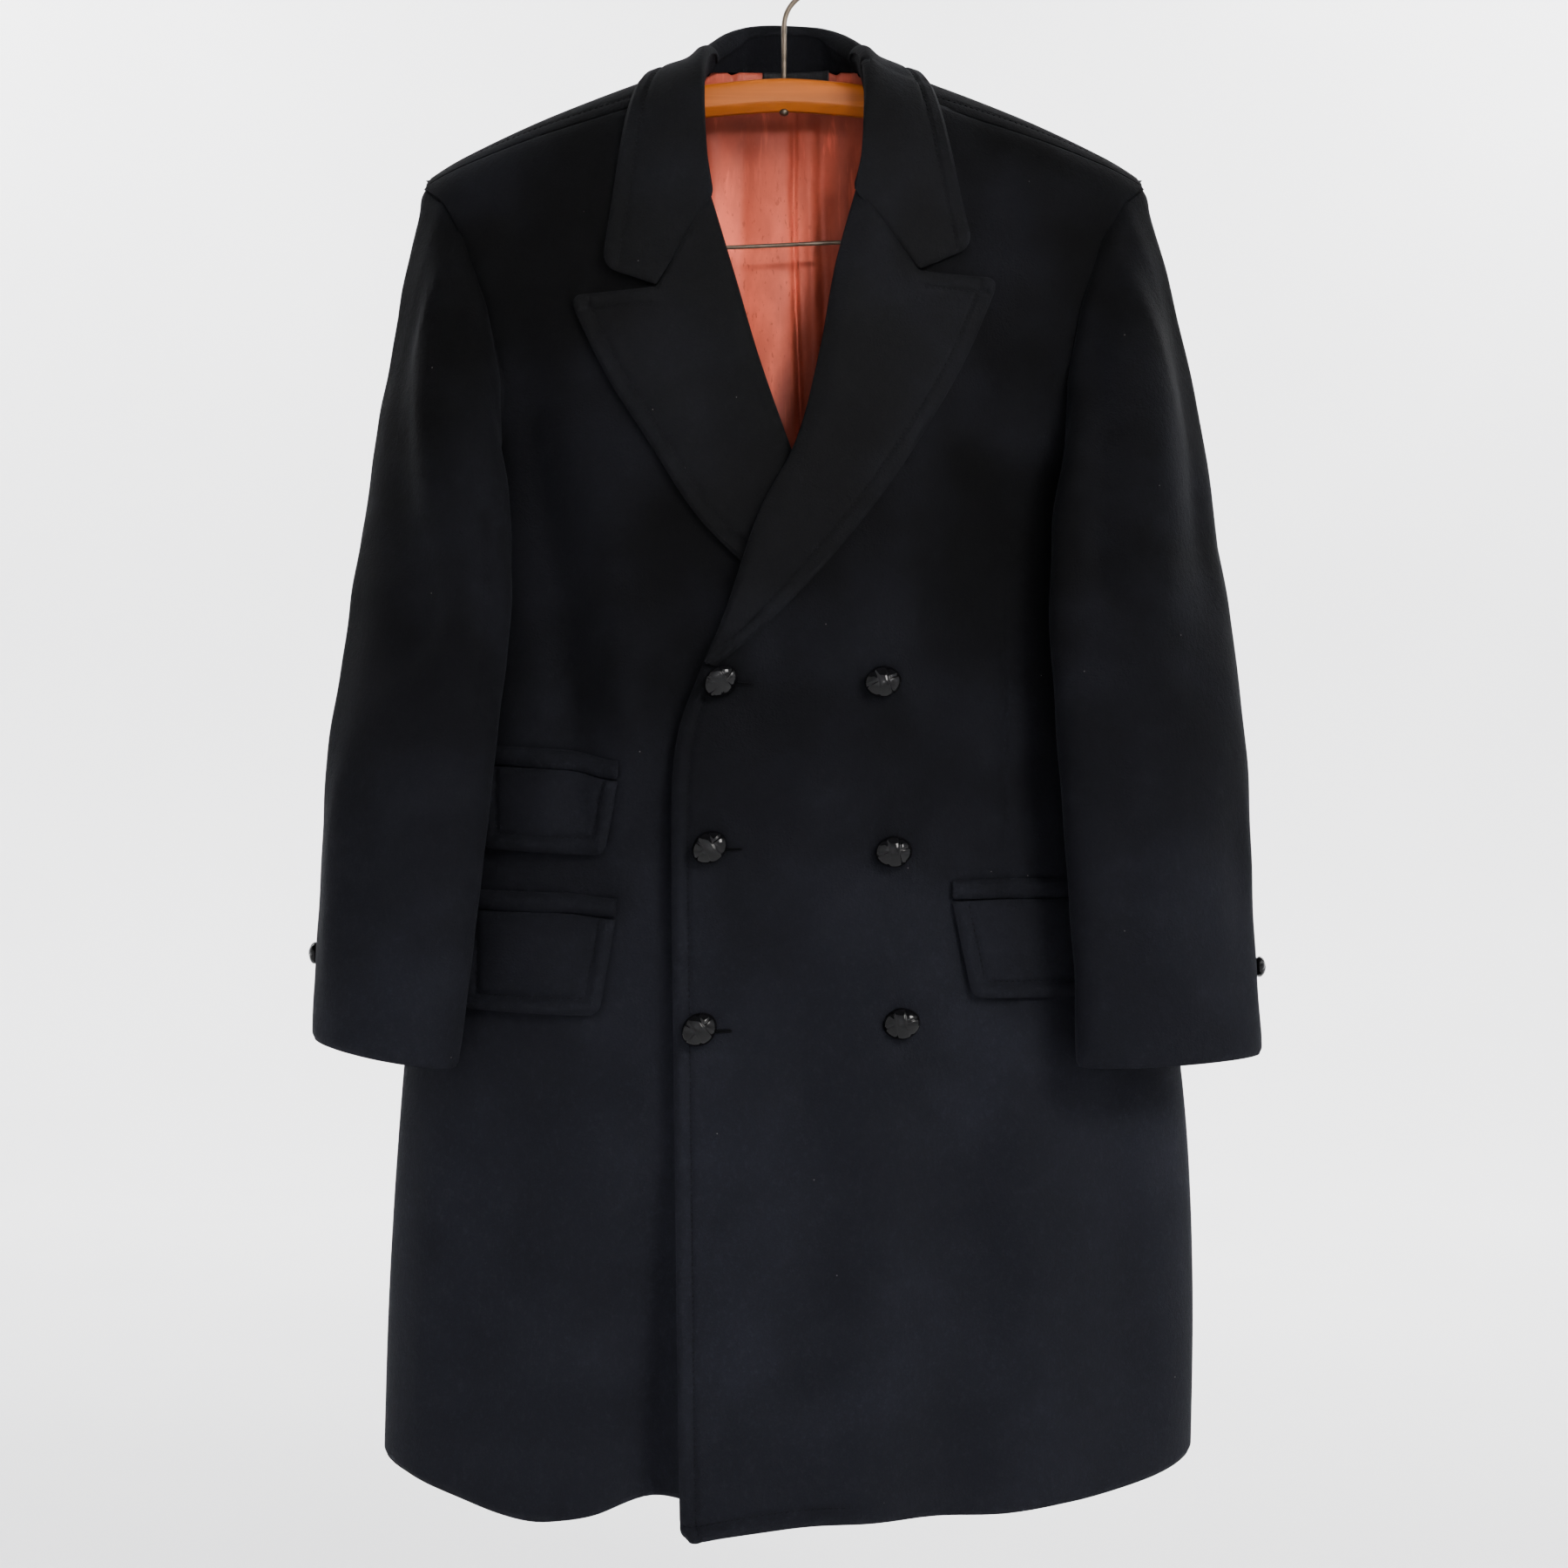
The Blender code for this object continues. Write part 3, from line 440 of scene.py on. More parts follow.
# The curve of the sleeve head
CAP_LEAVE_LEVEL = 0.5
CAP_LEAVE_FALL = 0.04
CAP_ARRIVE = 0.6
CAP_OUTER_LEVEL = 0.33
CAP_OUTER_FALL = 0.2
CAP_OUTER_ARRIVE = 0.38
CAP_OUTER_SLANT = 0.25

# The lining stays inside the armholes and the side seams
LINING_ARM_ROOM = 14.0
LINING_UNDERARM = 198.0
LINING_UNDERARM_BLEND = 120.0
LINING_SIDE_SHARE = 0.94

# The lapels: their rise to the collar's height at the gorge, the lift of their edge, and their roll
GORGE_REACH = 0.16
GORGE_BLEND = 0.3
EDGE_LIFT = 2.2
EDGE_LIFT_FROM = 0.45
EDGE_LIFT_END = 0.25
LAPEL_ROLL_FADE = 0.7
LAPEL_ROLL_EDGE = 4.0

# Beyond the notch, from the middle of the leaf on, the ends of the collar and lapels are free
NOTCH_AT = 0.5
NOTCH_BLEND = 0.05
NOTCH_ROLL = 0.7
NO_EDGE = 9.0

# The collar's fold, station by station from the middle of the back: how far the fold is moved down,
# the radius it rolls over with, and how far it turns before the stand goes on from it
RollRow = namedtuple("RollRow", "lower radius turn")
COLLAR_ROLL = (
    RollRow(5, 7.5, 160),
    RollRow(5, 7.5, 160),
    RollRow(1, 8, 150),
    RollRow(-5, 7, 118),
    RollRow(-2, 4, 95),
    RollRow(0, 2.8, 62),
    RollRow(0, 2.8, 62),
)
COLLAR_ROLL_FADE = 16.0
COLLAR_ROLL_ROWS = 10
COLLAR_CURVE_REACH = 1.6

# The neck seam along the stand's lower edge, from the middle of the back
SeamRow = namedtuple("SeamRow", "seam_x seam_y seam_drop")
NECK_SEAM = (
    SeamRow(0, 29, -11.5),
    SeamRow(28, 25, -10.5),
    SeamRow(44, 10.2, -6),
    SeamRow(53, -4, 2),
    SeamRow(57, -21, 34),
)

# The lining at the neck seam, and where it comes free below it
LINING_SHELL_NECK = -11.5
LINING_SHELL_HALF = 56.0
LINING_TUCK = 8.0
LINING_TUCK_FROM = 36.0
LINING_TUCK_BLEND = 10.0
LINING_NECK_LOWER = 0.8
LINING_NECK_LOWEST = 2.0
LINING_SHOULDER_BLEND = 24.0
LINING_SEAM_REACH = 34.0
LINING_UNDER_TO = 30.0
LINING_UNDER_BLEND = 8.0
LINING_BAR_ROOM = 3.0
LINING_LOOSE = 2.4
LINING_LOOSE_FROM = 10.0
LINING_LOOSE_REACH = 40.0

# The stage, in metres
STAGE_FLOOR = -1.3
STAGE_FLAT = 2.5
STAGE_CURVE = 1.0
STAGE_WALL_HIGH = 2.6
STUDIO_COLOUR = (0.86, 0.89, 0.94, 1.0)
CAMERA_PLACE = (0.0, -1.5, -0.579)
CAMERA_LENS = 50.0
CAMERA_SENSOR = 36.0
StageLight = namedtuple("StageLight", "name place target size share spread tint")
STAGE_LIGHTS = (
    StageLight("key_light", (1.6, -2.2, 0.95), (0, 0, -0.5), 0.9, 1.25, 180, (1.0, 0.98, 0.95)),
    StageLight("fill_light", (-0.3, -2.9, -0.1), (0, 0, -0.6), 1.2, 0.1, 180, (0.95, 0.97, 1.0)),
    StageLight("neck_light", (0.5, -2.6, 0.15), (-0.005, 0.0, -0.27), 0.3, 0.0045, 12, (1.0, 0.98, 0.96)),
    StageLight("back_light", (1.4, 1.9, 0.9), (0, 0, -0.5), 1.4, 0.3, 180, (1.0, 1.0, 1.0)),
    StageLight("wall_light_left", (-1.7, 1.7, 1.7), (-0.7, 3.5, -0.6), 1.6, 2.35, 180, (1.0, 1.0, 1.0)),
    StageLight("wall_light_right", (1.7, 1.7, 1.7), (0.7, 3.5, -0.6), 1.6, 2.35, 180, (1.0, 1.0, 1.0)),
)

# Creases drawn on the cloth: a line of places, how far it pushes out, and its width before
# and after the line, going across the piece.
# places on a sleeve are the turn in degrees, from its outer edge round by the front, and the drop.
Crease = namedtuple("Crease", "line out before after")
CREASE_FADE = 0.3
CREASE_END = 0.15
CREASES = {
    "front_right": (
        Crease(((-176, 150), (-168, 260), (-150, 360), (-136, 470), (-140, 560)), -6.5, 20, 18),
        Crease(((-128, 250), (-112, 350), (-98, 450), (-92, 560)), 3.5, 18, 22),
        Crease(((-150, 100), (-128, 150), (-120, 210)), -1.6, 14, 20),
        Crease(((-70, 330), (-60, 420), (-66, 520), (-78, 640)), -3.0, 14, 18),
        Crease(((-205, 320), (-196, 420), (-190, 520)), 3.0, 14, 18),
        Crease(((-120, 640), (-126, 760), (-132, 900), (-134, 960)), 3.2, 20, 30),
        Crease(((-176, 660), (-186, 780), (-196, 900), (-200, 960)), -3.4, 20, 26),
        Crease(((-232, 690), (-240, 800), (-246, 930)), 2.4, 14, 18),
        Crease(((-96, 470), (-110, 500), (-150, 512)), -0.9, 6, 8),
    ),
    "front_left": (
        Crease(((96, 240), (92, 320), (84, 400), (78, 470)), 3.6, 20, 16),
        Crease(((126, 150), (128, 230), (122, 320), (104, 420), (96, 500)), -4.6, 18, 22),
        Crease(((168, 140), (160, 220), (158, 330)), 2.6, 18, 18),
        Crease(((186, 330), (178, 440), (172, 540)), -3.6, 16, 20),
        Crease(((10, 360), (-10, 420), (-24, 480)), -2.2, 14, 20),
        Crease(((-48, 446), (-20, 452), (20, 446), (56, 440)), -1.1, 9, 9),
        Crease(((-34, 530), (0, 540), (40, 536)), -0.8, 10, 10),
        Crease(((20, 560), (12, 680), (16, 800), (26, 940)), -2.6, 26, 22),
        Crease(((-30, 640), (-34, 760), (-38, 940)), 2.2, 18, 20),
        Crease(((66, 680), (62, 800), (58, 950)), 2.8, 22, 22),
        Crease(((150, 640), (158, 760), (164, 940)), 3.0, 22, 20),
        Crease(((214, 660), (222, 780), (228, 940)), -3.4, 18, 20),
        Crease(((144, 366), (145, 450), (146, 547)), -1.3, 2.4, 2.4),
    ),
    "back": (
        Crease(((-160, 150), (-120, 230), (-92, 330), (-84, 460)), -3.2, 24, 24),
        Crease(((158, 150), (124, 240), (104, 350), (100, 480)), -3.4, 24, 24),
        Crease(((-180, 200), (-172, 300), (-176, 420)), 3.0, 20, 20),
        Crease(((182, 200), (172, 310), (178, 440)), 2.6, 20, 20),
        Crease(((-46, 60), (0, 70), (48, 58)), -1.4, 12, 12),
        Crease(((-26, 300), (-34, 460), (-24, 640), (-30, 900)), 3.0, 28, 24),
        Crease(((60, 420), (66, 600), (58, 780), (66, 940)), 2.6, 24, 24),
        Crease(((-196, 520), (-206, 680), (-214, 900)), -3.4, 22, 24),
        Crease(((196, 540), (206, 700), (216, 920)), -3.0, 22, 22),
        Crease(((2, 640), (4, 780), (0, 950)), -2.6, 18, 20),
    ),
    "sleeve_right": (
        Crease(((50, 105), (64, 165), (82, 228), (104, 311), (120, 349), (124, 400), (120, 465)),
               3.2, 15, 34),
        Crease(((38, 105), (52, 165), (70, 228), (92, 311), (108, 349), (112, 400), (108, 465)),
               -4.8, 44, 15),
        Crease(((140, 250), (146, 320), (152, 400), (146, 480)), -3.0, 12, 12),
        Crease(((128, 352), (108, 388), (80, 402)), -1.8, 12, 13),
        Crease(((126, 398), (104, 420), (76, 436)), 1.5, 11, 12),
        Crease(((60, 440), (54, 520), (60, 640)), 2.4, 16, 18),
        Crease(((96, 480), (92, 560), (98, 650)), -2.2, 14, 16),
        Crease(((24, 300), (22, 400), (30, 520)), 2.2, 14, 14),
        Crease(((-30, 180), (-36, 300), (-28, 420)), -3.0, 18, 18),
        Crease(((-62, 260), (-70, 380), (-60, 500)), 2.4, 16, 16),
        Crease(((-20, 420), (-40, 440), (-66, 430)), -1.8, 10, 10),
    ),
    "sleeve_left": (
        Crease(((57, 107), (74, 170), (89, 243), (95, 318), (98, 400), (96, 470)), 4.2, 20, 16),
        Crease(((110, 150), (124, 230), (132, 310), (138, 400)), -4.4, 14, 16),
        Crease(((30, 130), (42, 210), (56, 300), (58, 390)), -3.0, 18, 16),
        Crease(((140, 330), (122, 372), (98, 392)), -2.0, 9, 10),
        Crease(((132, 430), (124, 520), (130, 640)), -2.2, 14, 14),
        Crease(((88, 480), (92, 560), (90, 660)), 2.0, 18, 18),
        Crease(((50, 470), (44, 560), (48, 660)), -2.0, 16, 16),
        Crease(((-30, 180), (-34, 300), (-26, 430)), -3.0, 18, 18),
        Crease(((-64, 240), (-70, 380), (-62, 520)), 2.4, 16, 16),
        Crease(((-18, 400), (-40, 424), (-64, 418)), -1.8, 10, 10),
    ),
}

# The lining's pleats: middle, width on either side of it and depth
Pleat = namedtuple("Pleat", "x before after out")
PLEAT_WANDER = 3.0
PLEAT_WANDER_LONG = 70.0
PLEAT_TOP = 50.0
PLEATS = (
    Pleat(-96, 16, 16, 2.2),
    Pleat(-70, 12, 12, -2.0),
    Pleat(-46, 9, 7, 3.4),
    Pleat(-28, 8, 8, -3.0),
    Pleat(-6, 12, 14, 2.6),
    Pleat(10, 2.5, 1.6, -4.4),
    Pleat(18, 5, 6, 2.8),
    Pleat(29, 3.5, 6, -3.6),
    Pleat(43, 7, 9, 2.4),
    Pleat(62, 12, 12, -2.0),
    Pleat(88, 18, 18, 2.0),
)

# Edges: the row of stitching lies this far inside an edge, and the cloth swells between the two
STITCH_INSET = 11.0
STITCH_GROOVE = 1.25
STITCH_GROOVE_WIDE = 2.0
EDGE_SWELL = 0.9
EDGE_ROLL = 1.7
EDGE_ROLL_WIDE = 2.4
STITCH_THREAD = 0.36
STITCH_RISE = 0.1

# Grid lines next to a corner that a row of stitching leaves out
FLAP_END_LINES = 12
FLAP_LOW_LINES = 10
LAPEL_EDGE_LINES = 4
LAPEL_TOP_LINES = 8
COLLAR_END_LINES = 6

# The slight unevenness of hanging cloth: direction, length and height of each wave
WaveRow = namedtuple("WaveRow", "turn long high")
WAVES = (
    WaveRow(0.3, 210, 0.8),
    WaveRow(1.25, 150, 0.7),
    WaveRow(2.1, 96, 0.45),
    WaveRow(0.9, 61, 0.3),
    WaveRow(2.7, 43, 0.2),
)
WAVE_PHASE = 5.3
WAVE_BEND = 1.7
WAVE_BEND_LONG = 130.0
WAVE_SHARE = 0.8
WAVE_SIDE_FADE = 2.2
WAVE_TOP_FADE = 60.0
WAVE_SEEDS = {
    "front_right": 0.4, "front_left": 1.3, "back": 2.2, "sleeve": 3.1, "collar_fall": 4.4,
    "collar_stand": 5.2, "back_lining": 6.1,
}
SLEEVE_WAVE_SCALE = 0.8
SLEEVE_WAVE_JOIN = 240.0
SLEEVE_WAVE_BLEND = 60.0
COLLAR_WAVE = 0.5
COLLAR_WAVE_EDGE = 25.0
STAND_WAVE_LONG = 120.0
STAND_WAVE_FROM = 0.3
STAND_SINK = 0.3
LINING_WAVE = 0.7
LINING_WAVE_SCALE = (1.7, 1.2)

# The grids of the cloth: length, step, and the stretch at each end where the lines lie close
Grid = namedtuple("Grid", "length step first last")
GRIDS = {
    "front_across": Grid(310, 4.2, 15, 5),
    "front_down": Grid(880, 4.6, 5, 16),
    "back_half": Grid(SHOULDER_END, 4.6, 0, 5),
    "back_over": Grid(150, 4.0, 14, 0),
    "back_down": Grid(800, 5.0, 0, 10),
    "sleeve_top": Grid(210, 3.2, 5, 5),
    "sleeve_under": Grid(110, 3.2, 5, 5),
    "sleeve_head": Grid(290, 4.2, 8, 0),
    "sleeve_arm": Grid(360, 4.6, 0, 12),
    "lapel_across": Grid(115, 2.4, 6, 15),
    "lapel_down": Grid(330, 3.4, 15, 4),
    "collar_across": Grid(560, 3.4, 15, 15),
    "collar_down": Grid(96, 2.8, 8, 15),
    "stand_across": Grid(160, 2.4, 3, 3),
    "stand_down": Grid(36, 1.8, 4, 3),
    "lining_down": Grid(930, 7.0, 60, 0),
    "label_across": Grid(LABEL_WIDE, 1.5, 0, 0),
    "label_down": Grid(LABEL_HIGH, 1.5, 0, 0),
}
CLOSE_STEP = 1.1
LINING_CLOSE_STEP = 2.0
LINING_CLOSE_SHARE = 0.25
LINING_CLOSE_LINES = 52
LINING_LINES = 36
DART_COLUMNS = (0.625, 0.735, 0.005)

# Painted light on the lining, in metres: below a level, but not past its slanted pleat, which is painted
# shadow
LIT_LEVEL = -0.2
LIT_BLEND = 0.075
PLEAT_SHADOW_SLANT = 0.22
PLEAT_SHADOW_SIDE = 0.052
PLEAT_SHADOW_BLEND = 0.016


def ease(value):
    value = np.clip(value, 0.0, 1.0)
    return value * value * (3 - 2 * value)


def mix(a, b, share):
    return a + (b - a) * share


def read(rows, key, column, place):
    """Reads one column of a table at places between its rows, along a smooth curve."""
    keys = np.array([getattr(row, key) for row in rows], dtype=float)
    values = np.array([getattr(row, column) for row in rows], dtype=float)
    before = np.maximum(np.arange(len(keys)) - 1, 0)
    after = np.minimum(np.arange(len(keys)) + 1, len(keys) - 1)
    slopes = (values[after] - values[before]) / (keys[after] - keys[before])
    place = np.clip(place, keys[0], keys[-1])
    slot = np.clip(np.searchsorted(keys, place) - 1, 0, len(keys) - 2)
    span = keys[slot + 1] - keys[slot]
    t = (place - keys[slot]) / span
    return (values[slot] * (1 + 2 * t) * (1 - t) ** 2 + values[slot + 1] * t * t * (3 - 2 * t)
            + span * t * (1 - t) * (slopes[slot] * (1 - t) - slopes[slot + 1] * t))


def read_rows(rows, place):
    """Reads every column of a table at places counted in rows."""
    numbered = [namedtuple("Numbered", ("place",) + row._fields)(index, *row)
                for index, row in enumerate(rows)]
    return [read(numbered, "place", column, place) for column in rows[0]._fields]


def at(x, y, drop):
    """A point in metres in the part's frame."""
    return Vector((x * MM, y * MM, (NECK_LEVEL - drop) * MM))


def half_width(drop, side):
    return read(BODY, "drop", "right" if side == RIGHT else "left", drop)


def depth(drop, face):
    return np.where(face == FRONT, read(BODY, "drop", "front", drop), read(BODY, "drop", "back", drop))


def ridge(x):
    return read(RIDGE, "reach", "drop", np.abs(x))


def roundness(x, drop):
    """How much of the body's depth is left at x, as its section rounds towards the side seam."""
    wide = np.where(np.asarray(x) >= 0, half_width(drop, LEFT), half_width(drop, RIGHT))
    across = np.clip(np.abs(x) / wide, 0, 1)
    return np.sqrt(1 - across * across)


def shoulder_rise(x, drop):
    """How much of the depth is reached below the shoulder's rounded top line."""
    down = np.clip((drop - ridge(x)) / SHOULDER_ROUND, 0, 1)
    return np.sqrt(1 - (1 - down) ** 2)


def fold_push(panel, x, drop):
    """How far a panel's largest folds move its skin outwards."""
    push = 0.0
    for fold in FOLDS:
        if fold.panel == panel:
            grown = ease((drop - fold.starts) / (fold.full - fold.starts))
            push = push + fold.out * grown * np.exp(-((x - fold.x) / fold.spread) ** 2)
    return push


def skin(panel, x, drop, face, out):
    """The y of a panel's outer skin, moved outwards by a distance."""
    reach = depth(drop, face) * roundness(x, drop) * shoulder_rise(x, drop)
    reach = reach + fold_push(panel, x, drop) * roundness(x, drop)
    if panel == "front_left":
        reach = reach + LAP * (1 - ease((x - LAP_FULL_X) / (LAP_END_X - LAP_FULL_X)))
    return face * (reach + out)


def front_panel(side):
    return "front_" + SIDE_NAMES[side]


def front_edge(side, drop):
    return read(FRONT_EDGE, "drop", SIDE_NAMES[side], drop)


def hem_rise(x, side):
    """How far the hem curves up towards a side seam."""
    near = np.clip((side * x - (half_width(SIDE_HEM, side) - HEM_CURVE)) / HEM_CURVE, 0, 1)
    return HEM_RISE * near * near


def front_hem(side, x):
    """The level of a front's hem, with its sag."""
    plain = SIDE_HEM + read(FRONT_HEM_SAGS[side], "x", "sag", x) - hem_rise(x, side)
    if side == RIGHT:
        return plain + RIGHT_HEM_LOWER
    return plain + FRONT_HEM_DIP * ease((FRONT_HEM_FROM - x) / FRONT_HEM_REACH)


def seam_turn(reach):
    """How far in front of the shoulder's top line the shoulder seam lies, as an angle."""
    return mix(SHOULDER_SEAM_TURN, SHOULDER_END_TURN, (reach / SHOULDER_END) ** 2)


def seam_turn_drop(x, turn):
    return ridge(x) + SHOULDER_ROUND * (1 - np.cos(turn))


def outer_reach(drop, side, face):
    """Where a panel ends towards the side: at the armhole above, at the side seam below."""
    drops = [row.drop for row in ARMHOLE]
    front = np.interp(drop, drops, [row.front for row in ARMHOLE])
    back = np.interp(drop, drops, [row.back for row in ARMHOLE])
    above = np.where(np.asarray(face) == FRONT, front, back)
    return np.where(drop >= UNDERARM, half_width(drop, side), above)


def crease_push(name, across, down):
    """How far the creases drawn on a piece push it out, at places on it."""
    push = np.zeros(np.broadcast(across, down).shape)
    for crease in CREASES.get(name, ()):
        line = np.array(crease.line, dtype=float)
        spans = np.hypot(*(line[1:] - line[:-1]).T)
        total = spans.sum()
        nearest = np.full(push.shape, 1e9)
        signed = np.zeros(push.shape)
        along = np.zeros(push.shape)
        start = 0.0
        for (ax, ay), (bx, by), span in zip(line, line[1:], spans):
            dx, dy = (bx - ax) / span, (by - ay) / span
            t = np.clip((across - ax) * dx + (down - ay) * dy, 0, span)
            off_x = across - ax - dx * t
            off_y = down - ay - dy * t
            gap = np.hypot(off_x, off_y)
            closer = gap < nearest
            nearest = np.where(closer, gap, nearest)
            signed = np.where(closer, off_x * dy - off_y * dx, signed)
            along = np.where(closer, (start + t) / total, along)
            start += span
        wide = np.where(signed < 0, crease.before, crease.after)
        fade = mix(CREASE_END, 1.0, ease(along / CREASE_FADE) * ease((1 - along) / CREASE_FADE))
        push += crease.out * fade * np.exp(-(nearest / wide) ** 2)
    return push


def unevenness(x, drop, seed):
    """A slight unevenness of hanging cloth, in millimetres, never the same twice across a piece."""
    total = 0.0
    bend = WAVE_BEND * np.sin(drop / WAVE_BEND_LONG + seed)
    for wave in WAVES:
        turn = wave.turn + seed
        place = (x * math.cos(turn) + drop * math.sin(turn)) * 2 * math.pi / wave.long
        total = total + wave.high * np.sin(place + WAVE_PHASE * seed + bend)
    return total


def rolled_edge(distance):
    """The push of a plain turned edge."""
    return -EDGE_ROLL * np.exp(-(distance / EDGE_ROLL_WIDE) ** 2)


def stitch_groove(distance):
    """How much of its groove is reached beside a row of stitching, from 0 to 1."""
    return np.exp(-((distance - STITCH_INSET) / STITCH_GROOVE_WIDE) ** 2)


def swelled_edge(distance):
    """The push of a turned and stitched edge: rolled at the edge, swelled, then a sewn groove."""
    swell = EDGE_SWELL * np.exp(-((distance - STITCH_INSET / 2) / (STITCH_INSET / 3)) ** 2)
    return rolled_edge(distance) + swell - STITCH_GROOVE * stitch_groove(distance)


def sunk_edge(distance):
    """The push of an edge that is tucked under another at a seam."""
    return -SEAM_SINK * (1 - ease(distance / (2.5 * SEAM_TUCK)))


def where_free(push, free):
    """A push where an edge is free, and more than any other push where it is sewn down."""
    return free * push + NO_EDGE * (1 - free)


def rounded(a, b, radius):
    """Moves places near a corner, given by their distances from its two edges, onto a rounded one."""
    p = np.clip(1 - a / radius, 0, 1)
    q = np.clip(1 - b / radius, 0, 1)
    size = np.maximum(np.hypot(p, q), 1e-9)
    share = np.where((p > 0) & (q > 0), np.maximum(p, q) / size, 1.0)
    return a + radius * p * (1 - share), b + radius * q * (1 - share)


def spaced(length, step, first, last, close=CLOSE_STEP):
    """Shares from 0 to 1 along a length in millimetres, close together over its first and last stretch."""
    middle = length - first - last
    count = math.ceil(last / close)
    marks = (np.arange(0, first, close),
             first + np.linspace(0, middle, max(2, round(middle / step)) + 1),
             length - last + np.arange(1, count + 1) * last / max(1, count))
    return np.concatenate(marks) / length


def through(first, middle, last, share):
    """Goes straight from a first value to a middle one, and straight on to a last one."""
    return np.where(share <= 0.5, mix(first, middle, share * 2), mix(middle, last, share * 2 - 1))


def bent_line(corners, t):
    """A smooth curve from the first of four corners to the last, drawn towards the two between."""
    shares = (1 - t) ** 3, 3 * t * (1 - t) ** 2, 3 * t * t * (1 - t), t ** 3
    return sum(share * corner for share, corner in zip(shares, corners))


def finished_mesh(name, bm):
    """A smooth mesh with a bmesh's faces."""
    mesh = bpy.data.meshes.new(name)
    bm.to_mesh(mesh)
    bm.free()
    mesh.shade_smooth()
    return mesh


def ribbed_tube(segments, cuts, capped=True):
    """A bmesh tube of radius 1 and height 1, with rings of edges between its ends."""
    bm = bmesh.new()
    bmesh.ops.create_cone(bm, cap_ends=capped, segments=segments, radius1=1.0, radius2=1.0, depth=1.0)
    sides = [edge for edge in bm.edges if abs(edge.verts[0].co.z - edge.verts[1].co.z) > 0.5]
    bmesh.ops.subdivide_edges(bm, edges=sides, cuts=cuts, use_grid_fill=True)
    return bm


class Path:
    """A line of points in metres, read by the distance along it."""

    def __init__(self, points):
        self.points = np.array(points)
        steps = np.linalg.norm(np.diff(self.points, axis=0), axis=1)
        self.run = np.concatenate(([0.0], np.cumsum(steps)))
        self.length = self.run[-1]

    def read(self, columns, place):
        """Reads values that are given for each of the line's points."""
        return Vector([np.interp(place, self.run, columns[:, index]) for index in range(3)])

    def spot(self, place):
        return self.read(self.points, place)

    def heading(self, place, reach):
        """The way the line goes, over a reach before and after a place."""
        return (self.spot(place + reach) - self.spot(place - reach)).normalized()


class Sheet:
    """A piece of cloth as a grid of points (x, y, drop) in millimetres over shares across and down."""

    def __init__(self, name, across, down):
        self.name = name
        self.u, self.v = np.meshgrid(across, down)
        self.points = np.zeros(self.u.shape + (3,))
        self.away = None

    def lay(self, x, y, drop, away):
        """Places the grid; away gives a direction, or directions, that the outer side faces."""
        self.lay_points(np.stack(np.broadcast_arrays(x, y, drop), axis=-1), away)

    def lay_points(self, points, away):
        """Places the grid on points that are given as one array."""
        self.points = points.astype(float)
        self.away = np.asarray(away, dtype=float)

    def run(self, axis):
        """Distances along the grid from its first line, in millimetres."""
        steps = np.linalg.norm(np.diff(self.points, axis=axis), axis=-1)
        pad = [(0, 0), (0, 0)]
        pad[axis] = (1, 0)
        return np.pad(np.cumsum(steps, axis=axis), pad)

    def edges(self):
        """Distances from the left, right, top and bottom edges of the grid."""
        across = self.run(1)
        down = self.run(0)
        return across, across[:, -1:] - across, down, down[-1:, :] - down

    def normals(self):
        side = np.gradient(self.points, axis=1)
        fall = np.gradient(self.points, axis=0)
        out = np.cross(side, fall)
        out /= np.maximum(np.linalg.norm(out, axis=-1, keepdims=True), 1e-9)
        if np.sum(out * self.away) < 0:
            out = -out
        return out

    def push(self, amount):
        self.points = self.points + self.normals() * np.asarray(amount)[..., None]

    def build(self, thickness, finish):
        """Makes the piece's object: a grid moved onto the points, with the cloth's thickness inside."""
        rows, columns = self.u.shape
        bm = bmesh.new()
        bmesh.ops.create_grid(bm, x_segments=columns - 1, y_segments=rows - 1, size=0.5)
        for vert, point in zip(bm.verts, self.points.reshape(-1, 3)):
            vert.co = at(*point)
        bm.normal_update()
        outward = self.normals().reshape(-1, 3) * (1, 1, -1)
        facing = sum(vert.normal.dot(Vector(way)) for vert, way in zip(list(bm.verts)[::7], outward[::7]))
        if facing < 0:
            bmesh.ops.reverse_faces(bm, faces=bm.faces)
        mesh = finished_mesh(self.name, bm)
        corners = np.empty(len(mesh.loops), dtype=np.int32)
        mesh.loops.foreach_get("vertex_index", corners)
        places = np.stack((self.run(1).ravel(), self.run(0).ravel()), axis=-1) * MM
        layer = mesh.uv_layers.new(name="cloth")
        layer.uv.foreach_set("vector", places[corners].ravel().astype(np.float32))
        piece = add_piece(self.name + "_cloth", mesh, finish)
        wall = piece.modifiers.new("wall", "SOLIDIFY")
        wall.thickness = thickness * MM
        wall.offset = -1
        return piece

    def line(self, distance, value, axis):
        """The points where a distance over the grid passes a value, one for each grid line."""
        found = []
        points = self.points if axis == 1 else self.points.swapaxes(0, 1)
        ways = self.normals() if axis == 1 else self.normals().swapaxes(0, 1)
        field = distance if axis == 1 else distance.T
        for index in range(field.shape[0]):
            row = field[index] - value
            hits = np.nonzero(row[:-1] * row[1:] < 0)[0]
            if len(hits) == 0:
                continue
            slot = hits[0]
            t = row[slot] / (row[slot] - row[slot + 1])
            found.append((mix(points[index, slot], points[index, slot + 1], t),
                          mix(ways[index, slot], ways[index, slot + 1], t)))
        return found


def add_piece(name, data, finish):
    """Links a new piece, rides it on the part's one body and gives it its finish."""
    piece = bpy.data.objects.new(name, data)
    bpy.context.scene.collection.objects.link(piece)
    data.materials.append(finish_material(finish))
    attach(piece, "root")
    return piece


